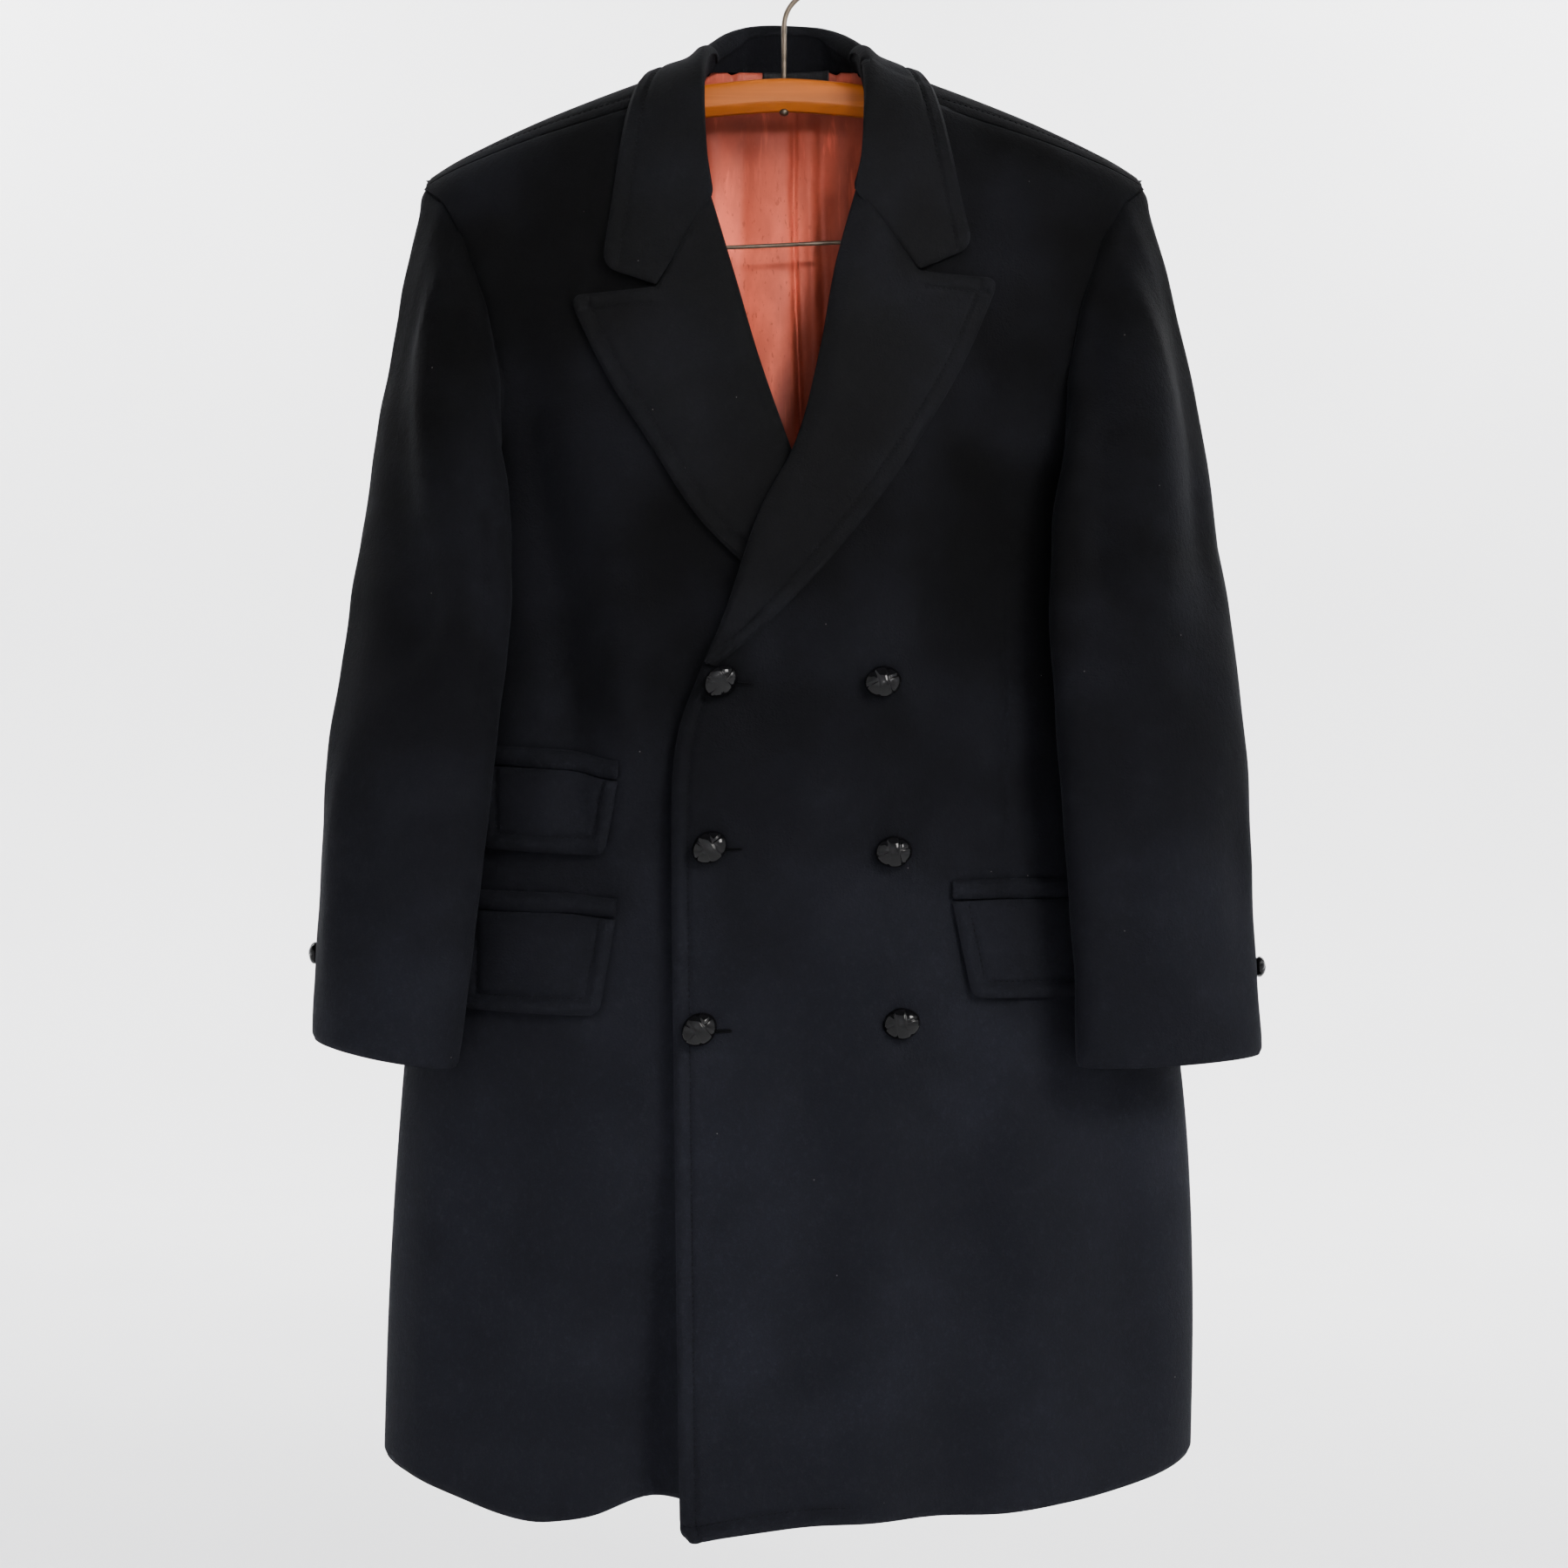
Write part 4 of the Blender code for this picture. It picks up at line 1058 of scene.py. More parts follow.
def panel_y(panel, x, drop, face, out):
    """A panel's skin with its creases and unevenness, which die away at the rounded sides."""
    fades = np.minimum(1.0, WAVE_SIDE_FADE * roundness(x, drop)) * ease((drop - ridge(x)) / WAVE_TOP_FADE)
    wave = crease_push(panel, x, drop) * settings().crease_strength
    wave = wave + WAVE_SHARE * unevenness(x, drop, WAVE_SEEDS[panel])
    return skin(panel, x, drop, face, out + fades * wave)


def cut_of(sheet, piece):
    """The width, length and area of the flat cut that a sheet is sewn from, in metres."""
    width = float(sheet.run(1)[:, -1].max()) * MM
    length = float(sheet.run(0)[-1, :].max()) * MM
    area = sum(face.area for face in piece.data.polygons)
    return (width, length), min(area, width * length)


def finish_cloth(sheet, node, thickness=None, finish="overcoat_cloth"):
    """Builds a sheet, works out the cut of its cloth and hides the solid that it stands for."""
    piece = sheet.build(settings().cloth if thickness is None else thickness, finish)
    flat, area = cut_of(sheet, piece)
    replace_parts(piece, node)


def make_front(side):
    """One front, from the shoulder seam, neck and armhole down to the hem."""
    panel = front_panel(side)
    across = spaced(*GRIDS["front_across"])
    if side == LEFT:
        across = np.unique(np.concatenate((across, np.arange(*DART_COLUMNS))))
    sheet = Sheet(panel, across, spaced(*GRIDS["front_down"]))
    reach = mix(NECK_HALF, SHOULDER_END, sheet.u)
    top = seam_turn_drop(reach, seam_turn(reach)) - SEAM_TUCK
    hem_x = mix(front_edge(side, SIDE_HEM), side * half_width(SIDE_HEM, side), sheet.u)
    hem = front_hem(side, hem_x)
    drop = mix(top, hem, sheet.v)
    edge = front_edge(side, drop)
    x = mix(edge, side * (outer_reach(drop, side, FRONT) + ARMHOLE_LAP * (drop < UNDERARM)), sheet.u)
    inside, above = rounded(np.abs(x - edge), hem - drop, FRONT_CORNER)
    x = edge + side * inside
    drop = hem - above
    sheet.lay(x, panel_y(panel, x, drop, FRONT, SEAM / 2), drop, (0, -1, 0))
    from_edge, from_side, from_top, from_hem = sheet.edges()
    below_break = ease((drop - BREAK_DROP) / BREAK_BLEND)
    stitched_hem = ease((HEM_SWELL_END - x) / HEM_SWELL_FADE) if side == LEFT else 0.0
    amount = swelled_edge(from_edge) * below_break
    amount = amount + mix(rolled_edge(from_hem), swelled_edge(from_hem), stitched_hem)
    amount = amount + SEAM_ROLL * rolled_edge(from_side) + sunk_edge(from_top)
    sheet.push(amount)
    finish_cloth(sheet, panel)
    if side == LEFT:
        edge_line = [spot for spot in sheet.line(from_edge, STITCH_INSET, 1) if spot[0][2] > BREAK_DROP]
        hem_line = [spot for spot in sheet.line(from_hem, STITCH_INSET, 0) if spot[0][0] < HEM_STITCH_END]
        add_stitches("front_left_stitching", [edge_line, hem_line])


def make_back():
    """The back, from side seam to side seam, carried over both shoulders."""
    half = spaced(*GRIDS["back_half"])
    across = np.concatenate((-half[::-1], half[1:]))
    down = np.concatenate((spaced(*GRIDS["back_over"]), 1 + spaced(*GRIDS["back_down"])[1:]))
    sheet = Sheet("back", across, down)
    side = np.where(sheet.u >= 0, LEFT, RIGHT)
    reach = np.abs(sheet.u) * SHOULDER_END
    neck = mix(BACK_NECK_TURN, -seam_turn(NECK_HALF), np.clip(reach / NECK_HALF, 0, 1) ** NECK_CORNER)
    start = np.where(reach >= NECK_HALF, -seam_turn(reach), neck)
    turn = mix(start, math.pi / 2, np.minimum(sheet.v, 1))
    over = seam_turn_drop(reach, turn)
    hem_x = sheet.u * half_width(SIDE_HEM, RIGHT)
    hem = SIDE_HEM - np.maximum(hem_rise(hem_x, LEFT), hem_rise(hem_x, RIGHT))
    drop = np.where(sheet.v < 1, over, mix(ridge(reach) + SHOULDER_ROUND, hem, sheet.v - 1))
    face = np.where(turn < 0, FRONT, BACK)
    limit = np.where(side == LEFT, outer_reach(drop, LEFT, BACK), outer_reach(drop, RIGHT, BACK))
    limit = limit + ARMHOLE_LAP * (drop < UNDERARM)
    x = np.where(face == FRONT, side * reach, sheet.u * limit)
    y = panel_y("back", x, drop, face, SEAM / 2)
    sheet.lay(x, y, drop, (0, 1, 0))
    from_left, from_right, from_top, from_hem = sheet.edges()
    amount = BACK_SEAM_ROLL * (rolled_edge(from_left) + rolled_edge(from_right)) + rolled_edge(from_hem)
    lap = np.where(reach >= NECK_HALF, 1.0, 0.0)
    amount = amount + lap * (SHOULDER_ROLL * rolled_edge(from_top)
                             - SHOULDER_GROOVE * stitch_groove(from_top))
    sheet.push(amount)
    finish_cloth(sheet, "back")
    line = sheet.line(from_top, STITCH_INSET, 0)
    rows = [[spot for spot in line if way * spot[0][0] > SHOULDER_STITCH_FROM] for way in (LEFT, RIGHT)]
    add_stitches("shoulder_stitching", rows)


def sleeve_section(side, drop, turn):
    """Points of the sleeve's tube, by the turn in degrees from the outer edge round by the front."""
    rows = SLEEVES[side]
    lean = np.radians(read(rows, "drop", "turn", drop))
    angle = np.radians(turn)
    wide = read(rows, "drop", "wide", drop) * np.cos(angle)
    deep = read(rows, "drop", "deep", drop) * np.sin(angle)
    x = read(rows, "drop", "x", drop) + side * (np.cos(lean) * wide + np.sin(lean) * deep)
    y = read(rows, "drop", "y", drop) + np.sin(lean) * wide - np.cos(lean) * deep
    return np.stack(np.broadcast_arrays(x, y, drop), axis=-1)


def armhole_turn(turn):
    """The place on the armhole that a line of the sleeve starts from."""
    turn = (turn - SLEEVE_TOP_TURN) % 360
    front_span = SLEEVE_UNDERARM_TURN - SLEEVE_TOP_TURN
    front = 180 * (np.minimum(turn, front_span) / front_span) ** (1 / SLEEVE_FRONT_EASE)
    return np.where(turn <= front_span, front, 180 + 180 * (turn - front_span) / (360 - front_span))


def armhole_point(side, turn):
    """Points just outside the armhole, by the turn in degrees from the shoulder point by the front."""
    rows = (ArmholeRow(float(ridge(SHOULDER_END)), SHOULDER_END, SHOULDER_END),) + ARMHOLE
    share = np.where(turn <= 180, turn / 180, (360 - turn) / 180)
    place = share * (len(rows) - 1)
    marks = np.arange(len(rows))
    drops = np.array([row.drop for row in rows], dtype=float)
    rings = {}
    for face, column in ((FRONT, "front"), (BACK, "back")):
        x = side * np.array([getattr(row, column) for row in rows], dtype=float)
        y = skin("sleeve", x, drops, face, SEAM / 2)
        rings[face] = np.stack([np.interp(place, marks, part) for part in (x, y, drops)], axis=-1)
    point = np.where((turn <= 180)[..., None], rings[FRONT], rings[BACK])
    room = SLEEVE_UNDERARM_ROOM * ease((share - SLEEVE_ROOM_FROM) / (1 - SLEEVE_ROOM_FROM)) - SLEEVE_HEAD_TUCK
    return point + np.stack((side * room, 0 * room, -room / 2), axis=-1)


def sleeve_wave(side, turn, drop):
    """A sleeve's creases and unevenness, which agree where the turn comes full circle."""
    name = "sleeve_" + SIDE_NAMES[side]
    seed = WAVE_SEEDS["sleeve"] + side
    waves = [crease_push(name, angle, drop) * settings().crease_strength
             + WAVE_SHARE * unevenness(angle * SLEEVE_WAVE_SCALE, drop, seed) for angle in (turn, turn - 360)]
    return mix(waves[0], waves[1], ease((turn - SLEEVE_WAVE_JOIN) / SLEEVE_WAVE_BLEND))


def sleeve_points(side, turn, down):
    """Points of a sleeve: -1 to 0 down it lies inside the armhole, to 1 on its head, to 2 on its arm."""
    top = SLEEVES[side][0].drop
    start = armhole_point(side, armhole_turn(turn))
    end = sleeve_section(side, top + 0 * turn, turn)
    level = (end - start) * (1, 1, 0)
    fall = (end - start) * (0, 0, 1)
    outer = (1 + np.cos(np.radians(turn))) / 2
    steep = outer[..., None] ** 2
    leave = (start + level * mix(CAP_LEAVE_LEVEL, CAP_OUTER_LEVEL, steep)
             + fall * mix(CAP_LEAVE_FALL, CAP_OUTER_FALL, steep))
    arrive = end - fall * mix(CAP_ARRIVE, CAP_OUTER_ARRIVE, steep) - level * CAP_OUTER_SLANT * steep
    head = bent_line((start, leave, arrive, end), np.clip(down, 0, 1)[..., None])
    cuff = SLEEVES[side][-1].drop - CUFF_RISES[side] * outer + CUFF_DIPS[side] * (1 - outer)
    arm = sleeve_section(side, mix(top, cuff, np.maximum(down - 1, 0)), turn)
    points = np.where((down < 1)[..., None], head, arm)
    points[..., 0] += side * SLEEVE_ALLOWANCE * np.minimum(down, 0)
    return points


def make_sleeve(side):
    """A two-piece sleeve: the top sleeve outside, the under sleeve against the body."""
    name = "sleeve_" + SIDE_NAMES[side]
    spans = {"top": (HINDARM_SEAM - 360, FOREARM_SEAM, -SLEEVE_SEAM_TURN / 2),
             "under": (FOREARM_SEAM, HINDARM_SEAM, SLEEVE_LAP)}
    down = np.concatenate((SLEEVE_ALLOWANCE_ROWS, spaced(*GRIDS["sleeve_head"]),
                           1 + spaced(*GRIDS["sleeve_arm"])[1:]))
    for part, (first, last, lap) in spans.items():
        sheet = Sheet(name + "_" + part, spaced(*GRIDS["sleeve_" + part]), down)
        turn = mix(first - lap, last + lap, sheet.u)
        points = sleeve_points(side, turn, sheet.v)
        drop = points[..., 2]
        middle = np.stack((read(SLEEVES[side], "drop", "x", drop), read(SLEEVES[side], "drop", "y", drop),
                           drop), axis=-1)
        sheet.lay_points(points, (points - middle) * (1, 1, 0))
        from_first, from_last, from_top, from_cuff = sheet.edges()
        from_top = np.maximum(from_top - SLEEVE_ALLOWANCE, 0)
        from_seam = np.minimum(from_first, from_last)
        held = ease(from_top / HEAD_HELD) * ease(from_cuff / CUFF_HELD + CUFF_LOOSE)
        amount = held * sleeve_wave(side, turn, drop)
        amount = amount + HEAD_SWELL * np.exp(-((from_top - HEAD_SWELL_AT) / HEAD_SWELL_WIDE) ** 2)
        amount = amount + HEAD_ROLL * rolled_edge(from_top) + rolled_edge(from_cuff)
        amount = amount + (SEAM_ROLL * rolled_edge(from_seam) if part == "top" else sunk_edge(from_seam))
        sheet.push(amount)
        finish_cloth(sheet, sheet.name)


def make_lapel(side):
    """A peaked lapel, laid on its front and rounded where it rolls over."""
    panel = front_panel(side)
    name = "lapel_" + SIDE_NAMES[side]
    rows = LAPELS[side]
    across, down = GRIDS["lapel_across"], GRIDS["lapel_down"]
    sheet = Sheet(name, spaced(*across), spaced(*down))
    from_peak, from_edge = rounded(sheet.v * down.length, (1 - sheet.u) * across.length, LAPEL_CORNER)
    share = 1 - from_edge / across.length
    along = from_peak / down.length
    roll_x, roll_drop, mid_x, mid_drop, edge_x, edge_drop = read_rows(rows, along * (len(rows) - 1))
    x = through(roll_x, mid_x, edge_x, share)
    drop = through(roll_drop, mid_drop, edge_drop, share)
    roll = np.exp(-((share - LAPEL_ROLL_AT) / LAPEL_ROLL_SPREAD) ** 2)
    roll = roll * (1 - along) ** LAPEL_ROLL_FADE * ease(share / LAPEL_ROLL_AT)
    gorge = (1 - ease(along / GORGE_REACH)) * ease(share / GORGE_BLEND)
    lift = ease((share - EDGE_LIFT_FROM) / (1 - EDGE_LIFT_FROM)) * ease((1 - along) / EDGE_LIFT_END)
    rise = np.maximum((COLLAR_LIFT - CLOTH - 2 * SEAM) * gorge, EDGE_LIFT * lift)
    out = SEAM * 2 + CLOTH + LAPEL_ROLL * roll + rise
    sheet.lay(x, panel_y(panel, x, drop, FRONT, out), drop, (0, -1, 0))
    from_roll, from_edge, from_top = sheet.edges()[:3]
    free_top = ease((sheet.u - NOTCH_AT) / NOTCH_BLEND)
    amount = -CLOTH * (1 - np.sqrt(1 - (1 - np.clip(from_roll / LAPEL_ROLL_EDGE, 0, 1)) ** 2))
    amount = amount + np.minimum(swelled_edge(from_edge), where_free(swelled_edge(from_top), free_top))
    amount = amount + (1 - free_top) * NOTCH_ROLL * rolled_edge(from_top)
    sheet.push(amount)
    finish_cloth(sheet, name, finish="facing_cloth")
    edge_line = sheet.line(from_edge, STITCH_INSET, 1)
    top_line = [spot for spot in sheet.line(from_top, STITCH_INSET, 0)
                if side * spot[0][0] > side * rows[0].mid_x]
    add_stitches(name + "_stitching", [edge_line[LAPEL_EDGE_LINES:], top_line[:-LAPEL_TOP_LINES]])


def clear_of_body(points, out):
    """Moves points of the collar outwards where they would lie closer than out to the body."""
    x, y, drop = (points[..., index] for index in range(3))
    face = np.where(y < 0, FRONT, BACK)
    wide = depth(drop, face) * roundness(x, drop) + out
    centre = ridge(x) + SHOULDER_ROUND
    size = np.hypot(y / wide, (centre - drop) / (SHOULDER_ROUND + out))
    inside = (drop < centre) & (size < 1)
    rounded_y = np.where(inside, y / np.maximum(size, 1e-6), y)
    rounded_drop = np.where(inside, centre - (centre - drop) / np.maximum(size, 1e-6), drop)
    front_y = np.where(x >= 0, skin("front_left", x, rounded_drop, FRONT, out),
                       skin("front_right", x, rounded_drop, FRONT, out))
    low = (face == FRONT) & (rounded_drop > ridge(x) + COLLAR_FRONT_FROM)
    clear_y = np.where(low, np.minimum(rounded_y, front_y), rounded_y)
    return np.stack((x, clear_y, rounded_drop), axis=-1)


def collar_rows():
    """The whole collar's stations from the wearer's left end round the back to the right end."""
    left = COLLAR_BACK + COLLAR_ENDS[LEFT]
    right = COLLAR_BACK + COLLAR_ENDS[RIGHT]
    mirrored = [row._replace(fold_x=-row.fold_x, mid_x=-row.mid_x, edge_x=-row.edge_x) for row in right]
    return list(reversed(left)) + mirrored[1:]


def away_from_neck(points):
    """Directions from the middle of the neck through points of the collar, and upwards."""
    return points * (1, 1, 0) + (0, 5, -20)


def rolled_over(points, fold_row, radius, turn, share):
    """Rows that go on from the collar's fold round a curve, by their share from the fold's 0 to -1."""
    fold = points[fold_row]
    down = points[fold_row + 4] - fold
    down = down / np.linalg.norm(down, axis=-1, keepdims=True)
    out = np.cross(down, np.gradient(fold, axis=0))
    out = out / np.linalg.norm(out, axis=-1, keepdims=True)
    if np.sum(out * away_from_neck(fold)) < 0:
        out = -out
    angle = np.radians(turn * -share)[..., None]
    radius = radius[..., None]
    return fold - out * radius * (1 - np.cos(angle)) - down * radius * np.sin(angle)


def make_fall(stations):
    """The collar's leaf with its rolled fold and stitched edge; gives back its sheet and its stations."""
    across, down = GRIDS["collar_across"], GRIDS["collar_down"]
    rolled = np.linspace(-1, 0, COLLAR_ROLL_ROWS + 1)[:-1]
    sheet = Sheet("collar_fall", spaced(*across), np.concatenate((rolled, spaced(*down))))
    leaf = np.maximum(sheet.v, 0)
    from_left, from_edge = rounded(sheet.u * across.length, (1 - leaf) * down.length, COLLAR_CORNER)
    from_right, from_edge = rounded(across.length - from_left, from_edge, COLLAR_CORNER)
    share = 1 - from_edge / down.length
    last = len(stations) - 1
    place = (1 - from_right / across.length) * last
    columns = read_rows(stations, place)
    fold, middle, edge = (np.stack(columns[index:index + 3], axis=-1) for index in (0, 3, 6))
    t = share[..., None]
    straight = through(fold, middle, edge, t)
    bow = 2 * middle - (fold + edge) / 2
    curved = fold * (1 - t) ** 2 + bow * 2 * t * (1 - t) + edge * t ** 2
    inner = ease(np.minimum(place, last - place) / COLLAR_CURVE_REACH)[..., None]
    points = clear_of_body(mix(straight, curved, inner), COLLAR_LIFT)
    lower, radius, turn = read_rows(COLLAR_ROLL, np.abs(place - last / 2))
    points[..., 2] += lower * np.exp(-(share * down.length / COLLAR_ROLL_FADE) ** 2)
    roll = rolled_over(points, len(rolled), radius, turn, sheet.v)
    points = np.where((sheet.v < 0)[..., None], roll, points)
    sheet.lay_points(points, away_from_neck(points))
    from_left, from_right, _, from_edge = sheet.edges()
    free_end = ease((leaf - NOTCH_AT) / NOTCH_BLEND)
    end_roll = rolled_edge(np.minimum(from_left, from_right))
    wave = unevenness(sheet.u * across.length, leaf * down.length, WAVE_SEEDS["collar_fall"])
    amount = np.minimum(swelled_edge(from_edge), where_free(end_roll, free_end))
    amount = amount + (1 - free_end) * NOTCH_ROLL * end_roll
    amount = amount + COLLAR_WAVE * wave * ease(from_edge / COLLAR_WAVE_EDGE)
    sheet.push(amount)
    finish_cloth(sheet, "collar_fall", finish="facing_cloth")
    edge_line = sheet.line(from_edge, STITCH_INSET, 0)
    add_stitches("collar_stitching", [edge_line[COLLAR_END_LINES:-COLLAR_END_LINES]])
    return sheet, place


def make_stand(stations, fall, place):
    """The stand inside the collar, from the end of the leaf's roll down to the neck seam."""
    mirrored = [row._replace(seam_x=-row.seam_x) for row in NECK_SEAM]
    seam_rows = list(reversed(NECK_SEAM)) + mirrored[1:]
    across, down = GRIDS["stand_across"], GRIDS["stand_down"]
    sheet = Sheet("collar_stand", spaced(*across), spaced(*down))
    along = sheet.u * (len(seam_rows) - 1)
    seam = np.stack(read_rows(seam_rows, along), axis=-1)
    station = (len(stations) - len(seam_rows)) / 2 + along
    top = np.stack([np.interp(station, place[1], fall.points[1, :, index]) for index in range(3)], axis=-1)
    points = mix(top, seam, sheet.v[..., None])
    sheet.lay_points(points, points * (-1, -1, 0) + (0, -8, 0))
    wave = unevenness(sheet.u * STAND_WAVE_LONG, sheet.v * down.length, WAVE_SEEDS["collar_stand"])
    sheet.push(COLLAR_WAVE * wave * ease(sheet.v / STAND_WAVE_FROM) - STAND_SINK)
    finish_cloth(sheet, "collar_stand")


def make_collar():
    """The collar's leaf and the stand inside it."""
    stations = collar_rows()
    make_stand(stations, *make_fall(stations))


def make_patch(flap, patch):
    """One piece of a pocket, laid on the front: a welt or a flap."""
    panel = front_panel(flap.side)
    is_flap = patch.prefix == "pocket_flap_"
    wide, high = flap.wide, patch.high
    close = min(PATCH_CLOSE, high / PATCH_CLOSE_PART)
    sheet = Sheet(patch.prefix + flap.name, spaced(wide, PATCH_STEPS[0], close, close),
                  spaced(high, PATCH_STEPS[1], PATCH_TOP_CLOSE, close))
    near, low = rounded(sheet.u * wide, (1 - sheet.v) * high, patch.corner)
    far, low = rounded(wide - near, low, patch.corner)
    down = high - low
    along = mix(patch.slant * down / high, wide, (wide - far) / wide)
    bow = PATCH_BOW * np.sin(np.pi * along / wide) * down / high
    sag = flap.sag * ease(1 - along / POCKET_SAG_REACH)
    sag = sag * (1 - down / high) if is_flap else sag
    x = flap.side * (flap.x + along)
    drop = flap.drop + patch.start + down + bow - flap.slope * along + sag
    wave = unevenness(along * PATCH_WAVE_SCALE, down * PATCH_WAVE_SCALE, flap.drop)
    rise = (patch.lift * (down / high) ** 2 + PATCH_WAVE * wave) * ease(down / PATCH_FREE)
    y = panel_y(panel, x, drop, FRONT, PATCH_GAP + patch.thick + rise)
    sheet.lay(x, y, drop, (0, -1, 0))
    from_near, from_far, from_top, from_low = sheet.edges()
    inset = np.minimum(np.minimum(from_near, from_far), from_low)
    if is_flap:
        amount = swelled_edge(inset) + FLAP_TOP_ROLL * rolled_edge(from_top)
    else:
        amount = WELT_ROLL * rolled_edge(np.minimum(inset, from_top))
        amount = amount + WELT_SWELL * np.sin(np.pi * np.clip(from_top / high, 0, 1))
    sheet.push(amount)
    finish_cloth(sheet, sheet.name, patch.thick)
    if is_flap:
        ends = [sheet.line(distance, STITCH_INSET, 1)[:-FLAP_END_LINES] for distance in (from_near, from_far)]
        low_line = sheet.line(from_low, STITCH_INSET, 0)[FLAP_LOW_LINES:-FLAP_LOW_LINES]
        add_stitches("flap_" + flap.name + "_stitching", ends + [low_line])


def make_pocket(flap):
    """A pocket's welt and, below it, its flap."""
    make_patch(flap, PatchRow("pocket_welt_", WELT_HIGH, 0.0, 0.0, WELT_THICK, 0.0, WELT_CORNER))
    make_patch(flap, PatchRow("pocket_flap_", flap.high, WELT_HIGH + PATCH_GAP, flap.slant, FLAP_THICK,
                              FLAP_LIFT, FLAP_CORNER))


def lining_reach(drop):
    """Half the lining's width: inside the armhole above, just short of the side seams below."""
    above = read(ARMHOLE, "drop", "back", np.maximum(drop, ARMHOLE[0].drop)) - LINING_ARM_ROOM
    side = LINING_SIDE_SHARE * half_width(drop, RIGHT)
    below = mix(LINING_UNDERARM, side, ease((drop - UNDERARM) / LINING_UNDERARM_BLEND))
    return np.where(drop < UNDERARM, above, below)


def lining_y(x, drop):
    """The lining's side that faces the back, close to the back at the neck and looser below."""
    gap = mix(LINING_TOP_GAP, LINING_GAP, ease((drop - LINING_NECK) / LINING_GAP_REACH))
    return skin("back", x, drop, BACK, -(CLOTH + gap))


def neck_seam(column):
    """Distances from the middle along the stand's lower edge, and one of its other columns."""
    return [row.seam_x for row in NECK_SEAM], [getattr(row, column) for row in NECK_SEAM]


def looseness(drop):
    """How far the lining has come free below the neck, from 0 to 1."""
    return ease((drop - LINING_LOOSE_FROM) / LINING_LOOSE_REACH)


def lining_shell_y(x, drop):
    """The lining's visible side: under the stand at the neck, and looser below."""
    loose = lining_y(x, drop) - LINING_CLOTH - LINING_LOOSE * looseness(drop)
    beside = ease((np.abs(x) - LINING_UNDER_TO) / LINING_UNDER_BLEND)
    under = mix(-CLOTH - LINING_CLOTH, CLOTH + LINING_CLOTH, beside)
    seam = np.interp(np.abs(x), *neck_seam("seam_y")) + under
    seam = np.maximum(seam, HANGER_DEEP / 2 + LINING_BAR_ROOM)
    return mix(seam, loose, ease((drop - LINING_SHELL_NECK) / LINING_SEAM_REACH))


def pleat_push(x, drop):
    """How far the lining's pleats stand out towards the front."""
    push = 0.0
    for pleat in PLEATS:
        middle = pleat.x + PLEAT_WANDER * np.sin(drop / PLEAT_WANDER_LONG + pleat.x)
        wide = np.where(x < middle, pleat.before, pleat.after)
        push = push + pleat.out * np.exp(-((x - middle) / wide) ** 2)
    return push * ease((drop - LINING_NECK) / PLEAT_TOP)


def make_lining():
    """The back lining with its pleats."""
    half = np.concatenate((np.linspace(0, LINING_CLOSE_SHARE, LINING_CLOSE_LINES),
                           np.linspace(LINING_CLOSE_SHARE, 1.0, LINING_LINES)[1:]))
    across = np.concatenate((-half[::-1], half[1:]))
    sheet = Sheet("back_lining", across, spaced(*GRIDS["lining_down"], LINING_CLOSE_STEP))
    top_x = sheet.u * lining_reach(np.zeros(1))
    beyond = ease((np.abs(top_x) - LINING_SHELL_HALF) / LINING_SHOULDER_BLEND)
    tuck = LINING_TUCK * ease((np.abs(top_x) - LINING_TUCK_FROM) / LINING_TUCK_BLEND)
    neck = np.interp(np.abs(top_x), *neck_seam("seam_drop")) + LINING_NECK_LOWER
    neck = np.minimum(neck, LINING_NECK_LOWEST) - tuck
    top = mix(neck, np.maximum(ridge(top_x) + LINING_SHOULDER, LINING_NECK), beyond)
    drop = mix(top, SIDE_HEM - LINING_RISE, sheet.v)
    x = sheet.u * lining_reach(drop)
    wave = unevenness(x * LINING_WAVE_SCALE[0], drop * LINING_WAVE_SCALE[1], WAVE_SEEDS["back_lining"])
    y = lining_shell_y(x, drop) - pleat_push(x, drop) - LINING_WAVE * wave * looseness(drop)
    sheet.lay(x, y, drop, (0, -1, 0))
    finish_cloth(sheet, "back_lining", LINING_CLOTH, "lining_satin")


def make_label():
    """The bare label on the lining's neck."""
    sheet = Sheet("neck_label", spaced(*GRIDS["label_across"]), spaced(*GRIDS["label_down"]))
    drop = LINING_SHELL_NECK + LABEL_LOWER + LABEL_HIGH * sheet.v
    x = LABEL_X + LABEL_WIDE * (0.5 - sheet.u)
    y = lining_shell_y(x, drop) - LABEL_GAP - LABEL_WAVE * np.sin(x / 5) * np.sin(drop / 4)
    sheet.lay(x, y, drop, (0, -1, 0))
    finish_cloth(sheet, "neck_label", LABEL_THICK, "label_cloth")


def add_stitches(name, lines):
    """Rows of small stitches along lines of points, each sunk into its groove."""
    style = settings()
    thread = STITCH_THREAD * MM
    size = Matrix.Diagonal((style.stitch_length / 2, thread, thread, 1))
    bm = bmesh.new()
    for line in lines:
        if len(line) < 3:
            continue
        path = Path([at(*spot) for spot, way in line])
        ways = np.array([way * (1, 1, -1) for spot, way in line])
        for place in np.arange(style.stitch_pitch, path.length, style.stitch_pitch):
            out = path.read(ways, place).normalized()
            along = path.heading(place, MM)
            side = out.cross(along).normalized()
            turn = Matrix((along, side, out)).transposed().to_4x4()
            move = Matrix.Translation(path.spot(place) + out * STITCH_RISE * MM)
            bmesh.ops.create_icosphere(bm, subdivisions=1, radius=1.0, matrix=move @ turn @ size)
    add_piece(name, finished_mesh(name, bm), "sewing_thread")


